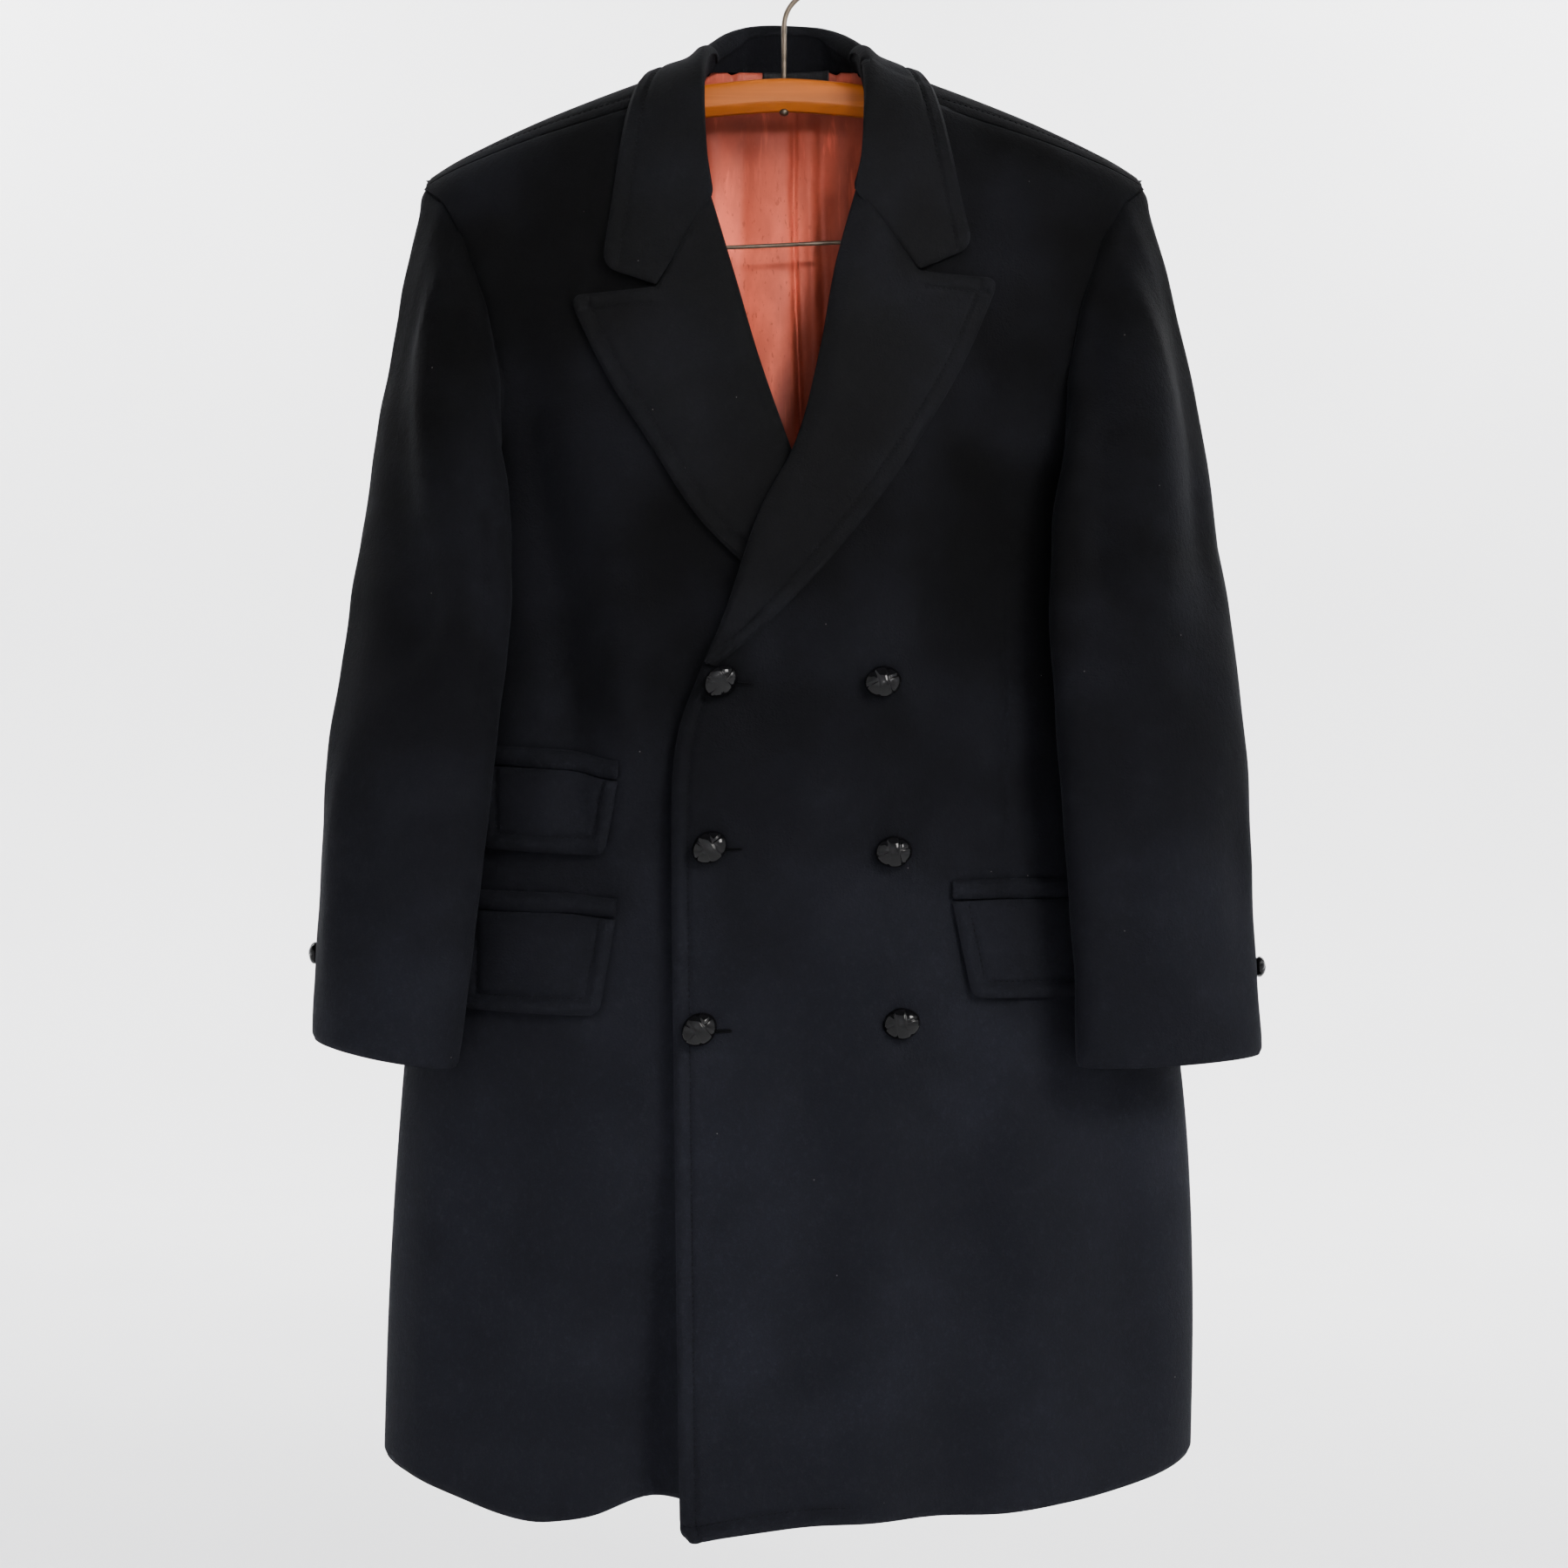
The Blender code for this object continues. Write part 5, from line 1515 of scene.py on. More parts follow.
def swept(name, points, radius, segments, finish, cuts=None):
    """A round wire or thread along a line of points in metres."""
    path = Path(points)
    bm = ribbed_tube(segments, cuts or len(points) * 2)
    for vert in bm.verts:
        place = (vert.co.z + 0.5) * path.length
        along = path.heading(place, radius)
        side = Vector((0, 1, 0)).cross(along)
        side = side.normalized() if side.length > 0.2 else Vector((1, 0, 0))
        up = along.cross(side).normalized()
        vert.co = path.spot(place) + (side * vert.co.x + up * vert.co.y) * radius
    bmesh.ops.recalc_face_normals(bm, faces=bm.faces)
    return add_piece(name, finished_mesh(name, bm), finish)


def strap_half(q):
    """Half the width of a button's middle strap, which flares towards its ends."""
    return KNOT_STRAP + KNOT_FLARE * q * q


def knot_groove(p, q):
    """How deep the sunk lines of a moulded leather knot are at a place on its face, from 0 to 1."""
    strap = strap_half(q)
    lines = [abs(abs(p) - strap)]
    if abs(p) > strap:
        lines.append(abs(q - KNOT_SLANT * math.copysign(1, p) * (abs(p) - strap) - KNOT_SHIFT))
    return max(math.exp(-(gap / KNOT_LINE) ** 2) for gap in lines)


def make_button(name, middle, axis, radius, height, spin):
    """An oval domed button moulded as a leather knot: a strap over two others."""
    bm = bmesh.new()
    bmesh.ops.create_uvsphere(bm, u_segments=96, v_segments=56, radius=1.0)
    turn = Vector((0, 0, 1)).rotation_difference(axis).to_matrix() @ Matrix.Rotation(spin, 3, "Z")
    for vert in bm.verts:
        p, q, rise = vert.co
        front = max(0.0, min(1.0, rise * KNOT_FRONT))
        crown = KNOT_CROWN * max(0.0, 1 - (p / strap_half(q)) ** 2)
        swell = 1 + front * (crown - KNOT_DEPTH * knot_groove(p, q))
        shape = Vector((p * radius * KNOT_LONG, q * radius / KNOT_LONG, rise * height / 2)) * swell * MM
        vert.co = middle + turn @ shape
    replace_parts(add_piece(name + "_knot", finished_mesh(name, bm), "button_gloss"), name)


def make_buttonhole(row):
    """The worked edge of a buttonhole, beside its button."""
    turn = np.linspace(0, 2 * math.pi, 49)
    straight = np.clip(np.cos(turn) * BUTTONHOLE_SQUARE, -1, 1) * BUTTONHOLE_LONG / 2
    x = row.x + BUTTONHOLE_SHIFT + straight + BUTTONHOLE_END * np.cos(turn)
    drop = row.drop + BUTTONHOLE_LOWER + BUTTONHOLE_WIDE / 2 * np.sin(turn)
    y = panel_y("front_left", x, drop, FRONT, BUTTONHOLE_RISE)
    points = [at(*spot) for spot in zip(x, y, drop)]
    swept("buttonhole_" + row.name, points, BUTTONHOLE_BEAD * MM, 8, "sewing_thread")


def make_buttons():
    """The six front buttons, one on the edge of each cuff, and the worked buttonholes."""
    for row in FRONT_BUTTONS:
        place = np.array([row.x]), np.array([row.drop])
        y = float(panel_y("front_left", *place, FRONT, BUTTON_HEIGHT / 2 - BUTTON_SINK)[0])
        make_button("button_" + row.name, at(row.x, y, row.drop), Vector(row.axis).normalized(),
                    BUTTON_RADIUS, BUTTON_HEIGHT, row.spin)
    for side, drop in CUFF_BUTTON_DROPS.items():
        edge = sleeve_section(side, np.array([drop]), np.array([0.0]))[0]
        middle = at(edge[0] + side * (CUFF_BUTTON_HEIGHT / 2 - CUFF_BUTTON_SINK), edge[1], drop)
        axis = Vector((side, CUFF_BUTTON_LEAN, 0)).normalized()
        make_button("cuff_button_" + SIDE_NAMES[side], middle, axis, CUFF_BUTTON_RADIUS, CUFF_BUTTON_HEIGHT,
                    CUFF_BUTTON_SPIN)
    for row in FRONT_BUTTONS[:3]:
        make_buttonhole(row)


def hanger_top(x):
    """The bar's top line: level at the hook, then just under the shoulders' inner side."""
    saddle = ridge(x) + CLOTH + HANGER_SEAT
    end = float(ridge(HANGER_SADDLE)) + CLOTH + HANGER_SEAT
    arch = mix(HANGER_TOP, end, (np.abs(x) / HANGER_SADDLE) ** HANGER_ARCH)
    return mix(arch, saddle, ease((np.abs(x) - HANGER_SADDLE_FROM) / (HANGER_SADDLE - HANGER_SADDLE_FROM)))


def hanger_high(x):
    return mix(HANGER_HIGH, HANGER_TIP_HIGH, (np.abs(x) / HANGER_HALF) ** 2)


def squarer(value):
    """Moves the sine or cosine of a round section towards a square one."""
    return math.copysign(abs(value) ** HANGER_FLAT, value)


def make_bar():
    """The wooden bar, with its tips rounded and its lower front edge bevelled."""
    bm = ribbed_tube(72, 140)
    for vert in bm.verts:
        x = HANGER_HALF * 2 * vert.co.z
        angle = math.atan2(vert.co.y, vert.co.x)
        tip = max(0.0, (abs(x) - (HANGER_HALF - HANGER_TIP)) / HANGER_TIP)
        shrink = mix(HANGER_TIP_SHARE, 1.0, math.sqrt(max(0.0, 1 - tip * tip)))
        high = float(hanger_high(x))
        middle = float(hanger_top(x)) + high / 2
        deep = squarer(math.cos(angle)) * shrink
        rise = squarer(math.sin(angle)) * shrink
        if deep < 0 and rise < -HANGER_BEVEL_AT:
            deep *= 1 - HANGER_BEVEL * (-rise - HANGER_BEVEL_AT) / (1 - HANGER_BEVEL_AT)
        vert.co = at(x, HANGER_DEEP / 2 * deep, middle - high / 2 * rise)
    bmesh.ops.recalc_face_normals(bm, faces=bm.faces)
    mesh = finished_mesh("hanger_bar", bm)
    mesh.set_sharp_from_angle(angle=HANGER_SHARP)
    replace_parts(add_piece("wooden_bar", mesh, "hanger_wood"), "hanger_bar")


def make_hook():
    """The wire hook: a stem out of the bar, a smooth bend and an open circle."""
    centre = -(HOOK_RADIUS - WIRE_RADIUS)
    low = centre - HOOK_RADIUS
    start = np.array((HOOK_RADIUS * math.cos(HOOK_JOIN), centre + HOOK_RADIUS * math.sin(HOOK_JOIN)))
    arrive = start - HOOK_EASE * np.array((-math.sin(HOOK_JOIN), math.cos(HOOK_JOIN)))
    corners = [np.array((0.0, low - HOOK_BEND_FROM)), np.array((0.0, low + HOOK_BEND_RISE)), arrive, start]
    line = [(0, NECK_LEVEL - HANGER_TOP - HOOK_SINK), (0, low - HOOK_STEM)]
    line += [bent_line(corners, step / HOOK_BEND_STEPS) for step in range(HOOK_BEND_STEPS)]
    for step in range(HOOK_STEPS + 1):
        angle = mix(HOOK_JOIN, HOOK_END, step / HOOK_STEPS)
        line.append((HOOK_RADIUS * math.cos(angle), centre + HOOK_RADIUS * math.sin(angle)))
    points = [Vector((x, 0, z)) * MM for x, z in line]
    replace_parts(swept("wire_hook", points, WIRE_RADIUS * MM, 20, "hanger_wire", 220), "hanger_hook")


def make_trouser_wire():
    """The wire for trousers: bent at both ends up to the bar, with a slight sag and tilt between."""
    half = TROUSER_WIRE_HALF
    line = [(-half, float(hanger_top(half) + hanger_high(half)) - TROUSER_WIRE_SEAT)]
    for step in range(11):
        angle = math.pi / 2 * step / 10
        line.append((-half + TROUSER_WIRE_BEND * (1 - math.cos(angle)),
                     TROUSER_WIRE_DROP - TROUSER_WIRE_BEND * (1 - math.sin(angle))))
    for step in range(1, 12):
        x = (-half + TROUSER_WIRE_BEND) * (1 - step / 12)
        line.append((x, TROUSER_WIRE_DROP + TROUSER_WIRE_SAG * (1 - (x / half) ** 2)))
    line.append((0, TROUSER_WIRE_DROP + TROUSER_WIRE_SAG))
    line += [(-x, drop) for x, drop in reversed(line[:-1])]
    points = [at(x, 0, drop - TROUSER_WIRE_TILT * x * (1 - (x / half) ** 2) ** 2) for x, drop in line]
    wire = swept("trouser_bar_wire", points, TROUSER_WIRE_RADIUS * MM, 14, "hanger_wire", 180)
    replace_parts(wire, "trouser_wire")


def make_nut():
    """The round nut under the bar, on the hook's stem."""
    bm = bmesh.new()
    bmesh.ops.create_uvsphere(bm, u_segments=28, v_segments=18, radius=NUT_RADIUS * MM)
    bmesh.ops.scale(bm, vec=(1, 1, NUT_FLAT), verts=bm.verts)
    middle = at(0, 0, HANGER_TOP + HANGER_HIGH + NUT_RADIUS * NUT_LOWER)
    bmesh.ops.translate(bm, verts=bm.verts, vec=middle)
    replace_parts(add_piece("hook_end_nut", finished_mesh("hook_end_nut", bm), "hanger_wire"), "hook_nut")


def make_hanger():
    """The wooden bar, its wire hook, the trouser wire and the hook's nut."""
    make_bar()
    make_hook()
    make_trouser_wire()
    make_nut()


class Value:
    """A number over a surface, which takes part in Python sums: each operation adds a Math node."""

    def __init__(self, shading, socket):
        self.shading = shading
        self.socket = socket

    def with_other(self, operation, first, second):
        node = self.shading.node("ShaderNodeMath", {"operation": operation}, {0: first, 1: second})
        return Value(self.shading, node.outputs[0])

    def __add__(self, other):
        return self.with_other("ADD", self, other)

    __radd__ = __add__

    def __mul__(self, other):
        return self.with_other("MULTIPLY", self, other)

    __rmul__ = __mul__

    def __sub__(self, other):
        return self.with_other("SUBTRACT", self, other)

    def __rsub__(self, other):
        return self.with_other("SUBTRACT", other, self)

    def above(self, edge, width):
        """Goes from 0 to 1 as the number passes an edge."""
        node = self.shading.node("ShaderNodeMapRange", {"interpolation_type": "SMOOTHSTEP"},
                                 {"Value": self, "From Min": edge, "From Max": edge + width})
        return Value(self.shading, node.outputs["Result"])


class Shading:
    """A material's nodes, added one at a time."""

    def __init__(self, name):
        self.material = bpy.data.materials.new(name)
        self.material.use_nodes = True
        self.tree = self.material.node_tree
        self.surface = self.tree.nodes["Principled BSDF"]
        self.coordinates = self.node("ShaderNodeTexCoord", {}, {})

    def node(self, kind, choices, inputs):
        """Adds a node, sets its choices, then fills its sockets with numbers, colours or links."""
        node = self.tree.nodes.new(kind)
        for key, choice in choices.items():
            setattr(node, key, choice)
        for key, value in inputs.items():
            self.fill(node.inputs[key], value)
        return node

    def fill(self, socket, value):
        if isinstance(value, Value):
            self.tree.links.new(value.socket, socket)
        elif isinstance(value, bpy.types.NodeSocket):
            self.tree.links.new(value, socket)
        else:
            socket.default_value = value

    def place(self, scale):
        """Object coordinates, scaled."""
        inputs = {"Vector": self.coordinates.outputs["Object"], "Scale": scale}
        return self.node("ShaderNodeMapping", {}, inputs).outputs["Vector"]

    def along(self, axis):
        """One of the object coordinates."""
        node = self.node("ShaderNodeSeparateXYZ", {}, {"Vector": self.coordinates.outputs["Object"]})
        return Value(self, node.outputs[axis])

    def noise(self, scale, detail, roughness, vector=None, distortion=0.0):
        inputs = {"Scale": scale, "Detail": detail, "Roughness": roughness, "Distortion": distortion}
        inputs["Vector"] = self.coordinates.outputs["Object"] if vector is None else vector
        return Value(self, self.node("ShaderNodeTexNoise", {}, inputs).outputs["Fac"])

    def cells(self, scale):
        """Distances from scattered points."""
        inputs = {"Scale": scale, "Vector": self.coordinates.outputs["Object"]}
        return Value(self, self.node("ShaderNodeTexVoronoi", {}, inputs).outputs["Distance"])

    def blend(self, share, first, second):
        """A colour between two colours."""
        node = self.node("ShaderNodeMix", {"data_type": "RGBA"}, {0: share, 6: first, 7: second})
        return node.outputs[2]

    def tones(self, share, values, first, second):
        """A colour between two tones of one colour, which are given as shares of its lightness."""
        return self.blend(share, colour(values, first), colour(values, second))

    def height(self, value, strength, distance):
        inputs = {"Height": value, "Strength": strength, "Distance": distance}
        return self.node("ShaderNodeBump", {}, inputs).outputs["Normal"]

    def set(self, **values):
        """Fills sockets of the surface; underscores stand for spaces in their names."""
        for key, value in values.items():
            self.fill(self.surface.inputs[key.replace("_", " ")], value)


def colour(values, gain=1.0):
    return tuple(channel * gain for channel in values[:3]) + (1.0,)


def cloth_finish(shading, style, gain=None):
    """Napped wool: nearly black with painted shade towards the top, navy towards the hem, a short fuzz and a
    few specks of lint.
    """
    # The gain paints shade on the cloth towards its top; the lapels and collar get a lighter gain, which is
    # painted light
    gain = style.upper_gain if gain is None else gain
    fuzz = shading.noise(820, 3, 0.65)
    fibres = shading.noise(300, 4, 0.65, shading.place((1, 1, 0.7)))
    worn = shading.noise(48, 4, 0.6)
    clouds = shading.noise(9, 3, 0.55)
    # 1 towards the hem, where the cloth turns navy and loses the painted shade of its top
    low = 1 - shading.along("Z").above(-0.85, 0.5)
    navy_and_lit_share = low * 0.7 + clouds.above(0.4, 0.3) * 0.3
    base = shading.blend(navy_and_lit_share, colour(style.cloth_colour, gain), colour(style.cloth_tint))
    lighter = fuzz.above(0.48, 0.3) * 0.45 + fibres.above(0.48, 0.3) * 0.4 + worn.above(0.48, 0.3) * 0.15
    raised = shading.blend(navy_and_lit_share, colour(style.cloth_colour, 2.4 * gain), colour(style.cloth_tint, 2.2))
    base = shading.blend(lighter, base, raised)
    lint = 1 - shading.cells(40).above(0.011, 0.008)
    base = shading.blend(lint * 0.45, base, colour((0.3, 0.29, 0.28)))
    height = fuzz * 0.6 + fibres * 0.8 + worn * 0.5
    shading.set(Base_Color=base, Roughness=0.95 - fibres * 0.08, Normal=shading.height(height, 0.6, 0.0012),
                Specular_IOR_Level=0.05, Sheen_Weight=0.012, Sheen_Roughness=0.5,
                Sheen_Tint=colour((0.62, 0.66, 0.8)))


def lit_facing_finish(shading, style):
    """The same wool on the collar and lapels in a lighter copy: painted light where they catch the lamp."""
    cloth_finish(shading, style, style.facing_gain)


def lining_finish(shading, style):
    """Satin lining with a mottled sheen, painted light below the bar and painted shade under it and past a
    pleat.
    """
    mottle = shading.noise(38, 4, 0.6, shading.place((1.0, 1.0, 0.45)))
    streaks = shading.noise(150, 3, 0.55, shading.place((1.0, 1.0, 0.08)))
    weave = shading.noise(1900, 2, 0.5, shading.place((1.0, 1.0, 0.15)))
    lightness = mottle.above(0.36, 0.3)
    # Painted shade: the darker tone under the bar and past the slanted pleat; painted light: the lighter tone
    # below
    shaded_tone = shading.tones(lightness, style.lining_colour, 0.32, 0.46)
    lit_tone = shading.tones(lightness, style.lining_colour, 0.86, 1.16)
    low = 1 - shading.along("Z").above(LIT_LEVEL, LIT_BLEND)
    pleat_shadow = (shading.along("X") - shading.along("Z") * PLEAT_SHADOW_SLANT).above(PLEAT_SHADOW_SIDE, PLEAT_SHADOW_BLEND)
    base = shading.blend(low * (1 - pleat_shadow), shaded_tone, lit_tone)
    base = shading.blend(streaks.above(0.55, 0.2) * 0.35, base, colour(style.lining_colour, 1.2))
    flecks = shading.noise(420, 2, 0.5, shading.place((1.0, 1.0, 0.4)))
    base = shading.blend(flecks.above(0.6, 0.1) * 0.5, base, colour(style.lining_colour, 0.4))
    shading.set(Base_Color=base, Roughness=0.42 + mottle * 0.16, Anisotropic=0.4,
                Normal=shading.height(mottle * 0.8 + weave * 0.15, 0.35, 0.0014), Specular_IOR_Level=0.14,
                Sheen_Weight=0.012, Sheen_Roughness=0.4)


def label_finish(shading, style):
    """A plain woven label."""
    warp = shading.noise(1600, 2, 0.5, shading.place((1.0, 1.0, 0.1)))
    weft = shading.noise(1600, 2, 0.5, shading.place((0.1, 1.0, 1.0)))
    weave = warp * 0.5 + weft * 0.5
    base = shading.blend(weave.above(0.42, 0.2),
                         colour((0.004, 0.004, 0.0045)), colour((0.013, 0.013, 0.015)))
    shading.set(Base_Color=base, Roughness=0.75 - weave * 0.2, Normal=shading.height(weave, 0.35, 0.0004),
                Specular_IOR_Level=0.1)


def button_finish(shading, style):
    """Gloss moulded buttons with slight wear."""
    wear = shading.noise(260, 4, 0.6)
    grain = shading.noise(1400, 3, 0.6)
    base = shading.tones(wear.above(0.45, 0.3), style.button_colour, 1.0, 1.7)
    shading.set(Base_Color=base, Roughness=0.04 + wear * 0.1, Coat_Weight=0.06, Coat_Roughness=0.04,
                Specular_IOR_Level=0.15,
                Normal=shading.height(grain * 0.3 + wear, 0.05, 0.0004))


def wood_finish(shading, style):
    """Varnished wood with its grain along the bar."""
    rings = shading.noise(1.0, 4, 0.6, shading.place((5.0, 70.0, 110.0)), 1.2)
    pores = shading.noise(1.0, 3, 0.6, shading.place((60.0, 900.0, 1300.0)))
    clouds = shading.noise(14, 2, 0.5)
    base = shading.tones(rings.above(0.38, 0.26), style.wood_colour, 0.84, 1.06)
    base = shading.blend(pores.above(0.58, 0.12) * 0.2, base, colour(style.wood_colour, 0.5))
    base = shading.blend(clouds.above(0.45, 0.3) * 0.2, base, colour(style.wood_colour, 1.2))
    shading.set(Base_Color=base, Roughness=0.3 + rings * 0.18, Coat_Weight=0.05, Coat_Roughness=0.18,
                Specular_IOR_Level=0.16,
                Normal=shading.height(pores * 0.7 + rings * 0.5, 0.15, 0.0005))


def wire_finish(shading, style):
    """Drawn steel wire, slightly dulled."""
    drawn = shading.noise(700, 3, 0.6)
    dull = shading.noise(90, 3, 0.55)
    base = shading.tones(dull.above(0.42, 0.3), style.wire_colour, 1.0, 0.6)
    shading.set(Base_Color=base, Metallic=1.0, Roughness=0.38 + dull * 0.25,
                Normal=shading.height(drawn, 0.12, 0.0003))


def thread_finish(shading, style):
    """Sewing thread, darker than the cloth as painted shade of the grooves it lies in, with a slight sheen.
    """
    twist = shading.noise(2600, 2, 0.5)
    base = shading.blend(twist.above(0.4, 0.25),
                         colour(style.cloth_colour, 0.25), colour(style.cloth_tint, 0.4))
    shading.set(Base_Color=base, Roughness=0.75 - twist * 0.15, Normal=shading.height(twist, 0.3, 0.0002),
                Specular_IOR_Level=0.04)


def stage_finish(shading, style):
    """A pale matt backdrop with a very faint tone in it."""
    tone = shading.noise(1.6, 3, 0.5)
    base = shading.tones(tone.above(0.35, 0.35), style.backdrop_colour, 0.965, 1.0)
    shading.set(Base_Color=base, Roughness=0.88 + tone * 0.08, Specular_IOR_Level=0.2)


FINISHES = {
    "overcoat_cloth": (cloth_finish, "overcoat_cloth"),
    "facing_cloth": (lit_facing_finish, "overcoat_cloth"),
    "sewing_thread": (thread_finish, "overcoat_cloth"),
    "lining_satin": (lining_finish, "lining_satin"),
    "label_cloth": (label_finish, "label_cloth"),
    "button_gloss": (button_finish, "button_gloss"),
    "hanger_wood": (wood_finish, "hanger_wood"),
    "hanger_wire": (wire_finish, "hanger_wire"),
    "stage_paper": (stage_finish, None),
}


def finish_material(finish):
    """The material of a finish, made the first time it is asked for."""
    name = "finish_" + finish
    if name not in bpy.data.materials:
        FINISHES[finish][0](Shading(name), settings())
    return bpy.data.materials[name]


def make_backdrop():
    """A round pale floor that curves up into a wall all round the coat."""
    bm = ribbed_tube(96, 47, capped=False)
    curve = STAGE_CURVE * math.pi / 2
    for vert in bm.verts:
        run = (vert.co.z + 0.5) * (STAGE_FLAT + curve + STAGE_WALL_HIGH)
        bend = min(max((run - STAGE_FLAT) / STAGE_CURVE, 0.0), math.pi / 2)
        reach = min(run, STAGE_FLAT) + STAGE_CURVE * math.sin(bend)
        rise = STAGE_CURVE * (1 - math.cos(bend)) + max(0.0, run - STAGE_FLAT - curve)
        vert.co = Vector((vert.co.x * reach, vert.co.y * reach, STAGE_FLOOR + rise))
    bmesh.ops.remove_doubles(bm, verts=bm.verts, dist=MM)
    bmesh.ops.recalc_face_normals(bm, faces=bm.faces)
    lowest = min(bm.faces, key=lambda face: face.calc_center_median().z)
    if lowest.normal.z < 0:
        bmesh.ops.reverse_faces(bm, faces=bm.faces)
    mesh = finished_mesh("backdrop", bm)
    mesh.materials.append(finish_material("stage_paper"))
    backdrop = bpy.data.objects.new("backdrop", mesh)
    bpy.context.scene.collection.objects.link(backdrop)


def add_light(row, power):
    """A square soft light turned towards a point."""
    data = bpy.data.lights.new(row.name, "AREA")
    data.shape = "SQUARE"
    data.size = row.size
    data.energy = power
    data.spread = math.radians(row.spread)
    data.color = row.tint
    light = bpy.data.objects.new(row.name, data)
    light.location = row.place
    light.rotation_euler = (Vector(row.target) - Vector(row.place)).to_track_quat("-Z", "Y").to_euler()
    bpy.context.scene.collection.objects.link(light)


def make_stage():
    """The backdrop, the studio's lights and the camera."""
    style = settings()
    make_backdrop()
    for row in STAGE_LIGHTS:
        add_light(row, row.share * style.light_power)
    world = bpy.context.scene.world or bpy.data.worlds.new("studio")
    bpy.context.scene.world = world
    world.use_nodes = True
    background = world.node_tree.nodes["Background"]
    background.inputs["Color"].default_value = STUDIO_COLOUR
    background.inputs["Strength"].default_value = style.ambient
    data = bpy.data.cameras.new("photo_camera")
    data.lens = CAMERA_LENS
    data.sensor_width = CAMERA_SENSOR
    camera = bpy.data.objects.new("photo_camera", data)
    camera.location = CAMERA_PLACE
    camera.rotation_euler = (math.pi / 2, 0, 0)
    bpy.context.scene.collection.objects.link(camera)
    bpy.context.scene.camera = camera


class OvercoatSettings(bpy.types.PropertyGroup):
    """Sizes and colours of the coat's looks."""

    cloth: FloatProperty(name="Cloth thickness", description="Thickness of the coat's cloth in millimetres",
                         default=CLOTH, min=1.0, max=3.0)
    crease_strength: FloatProperty(name="Crease strength", description="How deep the hand-drawn creases are",
                                   default=1.35, min=0.0, max=2.0, subtype="FACTOR")
    stitch_pitch: FloatProperty(name="Stitch pitch", description="From one stitch to the next",
                                default=4.0 * MM, min=2 * MM, unit="LENGTH")
    stitch_length: FloatProperty(name="Stitch length", description="Length of a stitch on the cloth",
                                 default=2.7 * MM, min=1 * MM, unit="LENGTH")
    cloth_colour: FloatVectorProperty(name="Cloth", description="The cloth's darkest colour",
                                      default=(0.0052, 0.0053, 0.0057), subtype="COLOR", min=0, max=1)
    # Painted shade: how dark the cloth is painted towards its top
    upper_gain: FloatProperty(name="Upper cloth", description="Lightness of the cloth towards its top",
                              default=0.22, min=0.0, max=3.0)
    # Painted light: how much lighter the collar and lapels are painted than the upper cloth
    facing_gain: FloatProperty(name="Facing cloth", description="Lightness of the collar and lapels",
                               default=0.55, min=0.0, max=3.0)
    cloth_tint: FloatVectorProperty(name="Cloth tint", description="The navy trace in the cloth",
                                    default=(0.0083, 0.0087, 0.0118), subtype="COLOR", min=0, max=1)
    lining_colour: FloatVectorProperty(name="Lining", description="The lining's colour",
                                       default=(0.75, 0.135, 0.078), subtype="COLOR", min=0, max=1)
    button_colour: FloatVectorProperty(name="Buttons", description="The buttons' colour",
                                       default=(0.0022, 0.0022, 0.0026), subtype="COLOR", min=0, max=1)
    wood_colour: FloatVectorProperty(name="Wood", description="The hanger bar's colour",
                                     default=(0.33, 0.08, 0.006), subtype="COLOR", min=0, max=1)
    wire_colour: FloatVectorProperty(name="Wire", description="The hook's and trouser wire's colour",
                                     default=(0.12, 0.095, 0.072), subtype="COLOR", min=0, max=1)
    backdrop_colour: FloatVectorProperty(name="Backdrop", description="The floor's and wall's colour",
                                         default=(0.9, 0.9, 0.91), subtype="COLOR", min=0, max=1)
    light_power: FloatProperty(name="Light power", description="Power of the main light",
                               default=70.0, min=0.0, unit="POWER")
    ambient: FloatProperty(name="Ambient", description="Strength of the light from all round",
                           default=0.2, min=0.0, max=3.0)


def settings():
    return bpy.context.scene.overcoat


class OVERCOAT_OT_add_hanger(bpy.types.Operator):
    """Add the wooden bar, the hook, its nut and the trouser wire"""

    bl_idname = "overcoat.add_hanger"
    bl_label = "Add hanger"

    def execute(self, context):
        make_hanger()
        return {"FINISHED"}


class OVERCOAT_OT_add_back(bpy.types.Operator):
    """Add the coat's back"""

    bl_idname = "overcoat.add_back"
    bl_label = "Add back"

    def execute(self, context):
        make_back()
        return {"FINISHED"}


class OVERCOAT_OT_add_fronts(bpy.types.Operator):
    """Add both fronts"""

    bl_idname = "overcoat.add_fronts"
    bl_label = "Add fronts"

    def execute(self, context):
        for side in SIDE_NAMES:
            make_front(side)
        return {"FINISHED"}


class OVERCOAT_OT_add_sleeves(bpy.types.Operator):
    """Add both sleeves"""

    bl_idname = "overcoat.add_sleeves"
    bl_label = "Add sleeves"

    def execute(self, context):
        for side in SIDE_NAMES:
            make_sleeve(side)
        return {"FINISHED"}


class OVERCOAT_OT_add_lapels(bpy.types.Operator):
    """Add both lapels"""

    bl_idname = "overcoat.add_lapels"
    bl_label = "Add lapels"

    def execute(self, context):
        for side in SIDE_NAMES:
            make_lapel(side)
        return {"FINISHED"}


class OVERCOAT_OT_add_collar(bpy.types.Operator):
    """Add the collar's leaf and stand"""

    bl_idname = "overcoat.add_collar"
    bl_label = "Add collar"

    def execute(self, context):
        make_collar()
        return {"FINISHED"}


class OVERCOAT_OT_add_pockets(bpy.types.Operator):
    """Add the three pockets' welts and flaps"""

    bl_idname = "overcoat.add_pockets"
    bl_label = "Add pockets"

    def execute(self, context):
        for flap in FLAPS:
            make_pocket(flap)
        return {"FINISHED"}


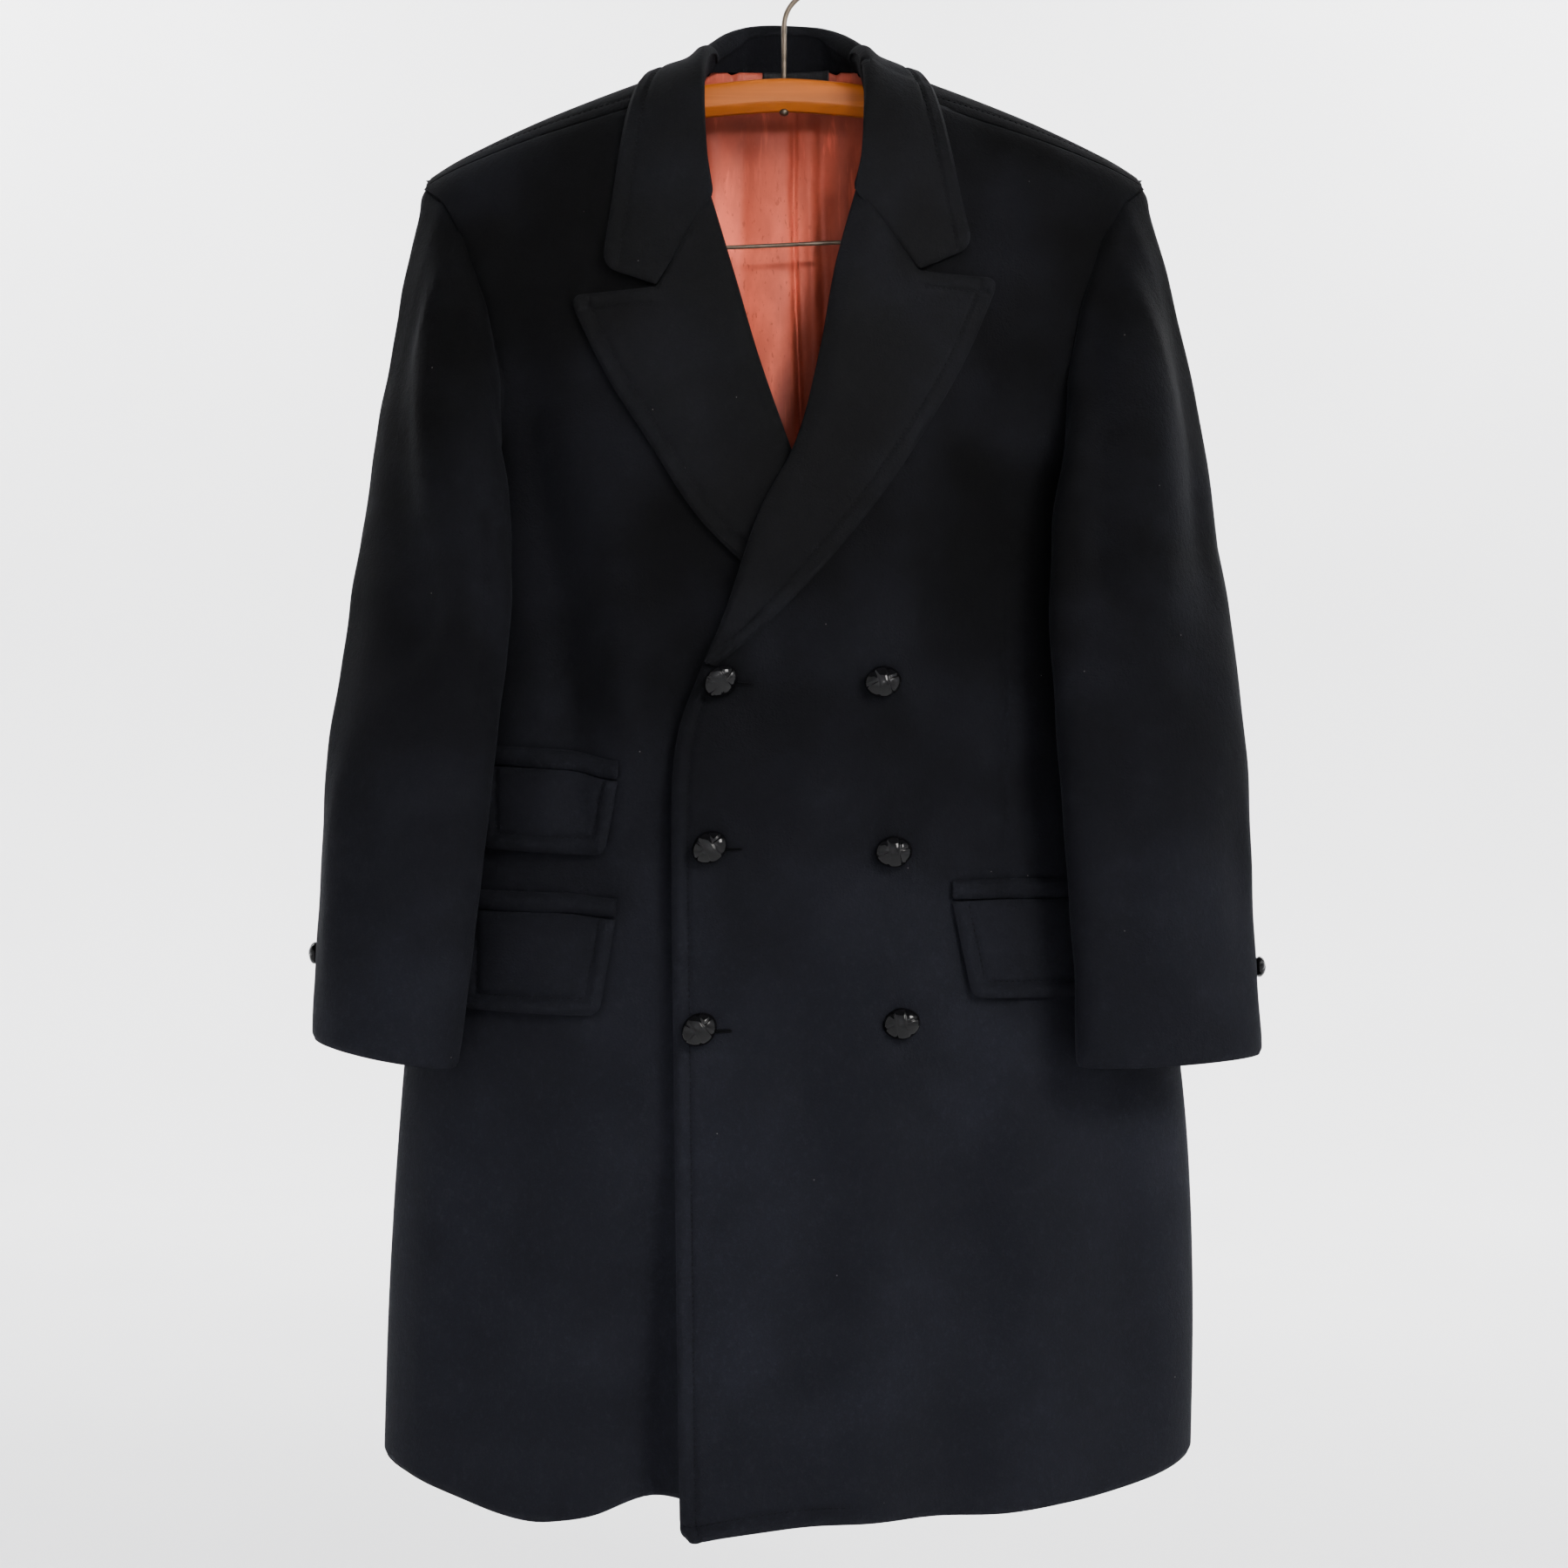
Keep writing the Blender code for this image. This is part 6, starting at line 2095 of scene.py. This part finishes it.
class OVERCOAT_OT_add_lining(bpy.types.Operator):
    """Add the back lining and the neck label"""

    bl_idname = "overcoat.add_lining"
    bl_label = "Add lining"

    def execute(self, context):
        make_lining()
        make_label()
        return {"FINISHED"}


class OVERCOAT_OT_add_buttons(bpy.types.Operator):
    """Add the buttons and buttonholes"""

    bl_idname = "overcoat.add_buttons"
    bl_label = "Add buttons"

    def execute(self, context):
        make_buttons()
        return {"FINISHED"}


class OVERCOAT_OT_set_stage(bpy.types.Operator):
    """Add the backdrop, the lights and the camera"""

    bl_idname = "overcoat.set_stage"
    bl_label = "Set stage"

    def execute(self, context):
        make_stage()
        return {"FINISHED"}


OPERATORS = (
    OVERCOAT_OT_add_hanger, OVERCOAT_OT_add_back, OVERCOAT_OT_add_fronts, OVERCOAT_OT_add_sleeves,
    OVERCOAT_OT_add_lapels, OVERCOAT_OT_add_collar, OVERCOAT_OT_add_pockets, OVERCOAT_OT_add_lining,
    OVERCOAT_OT_add_buttons, OVERCOAT_OT_set_stage,
)


class OVERCOAT_PT_panel(bpy.types.Panel):
    """Lists the coat's settings and the steps that build it"""

    bl_idname = "OVERCOAT_PT_panel"
    bl_label = "Overcoat"
    bl_space_type = "VIEW_3D"
    bl_region_type = "UI"
    bl_category = "Overcoat"

    def draw(self, context):
        column = self.layout.column(align=True)
        for key in OvercoatSettings.__annotations__:
            column.prop(context.scene.overcoat, key)
        for operator in OPERATORS:
            self.layout.operator(operator.bl_idname)


CLASSES = (OvercoatSettings,) + OPERATORS + (OVERCOAT_PT_panel,)


def register():
    for item in CLASSES:
        bpy.utils.register_class(item)
    bpy.types.Scene.overcoat = PointerProperty(type=OvercoatSettings)


def unregister():
    del bpy.types.Scene.overcoat
    for item in reversed(CLASSES):
        bpy.utils.unregister_class(item)


def main():
    register()
    bpy.ops.overcoat.add_hanger()
    bpy.ops.overcoat.add_back()
    bpy.ops.overcoat.add_fronts()
    bpy.ops.overcoat.add_sleeves()
    bpy.ops.overcoat.add_lapels()
    bpy.ops.overcoat.add_collar()
    bpy.ops.overcoat.add_pockets()
    bpy.ops.overcoat.add_lining()
    bpy.ops.overcoat.add_buttons()
    bpy.ops.overcoat.set_stage()


if __name__ == "__main__":
    main()
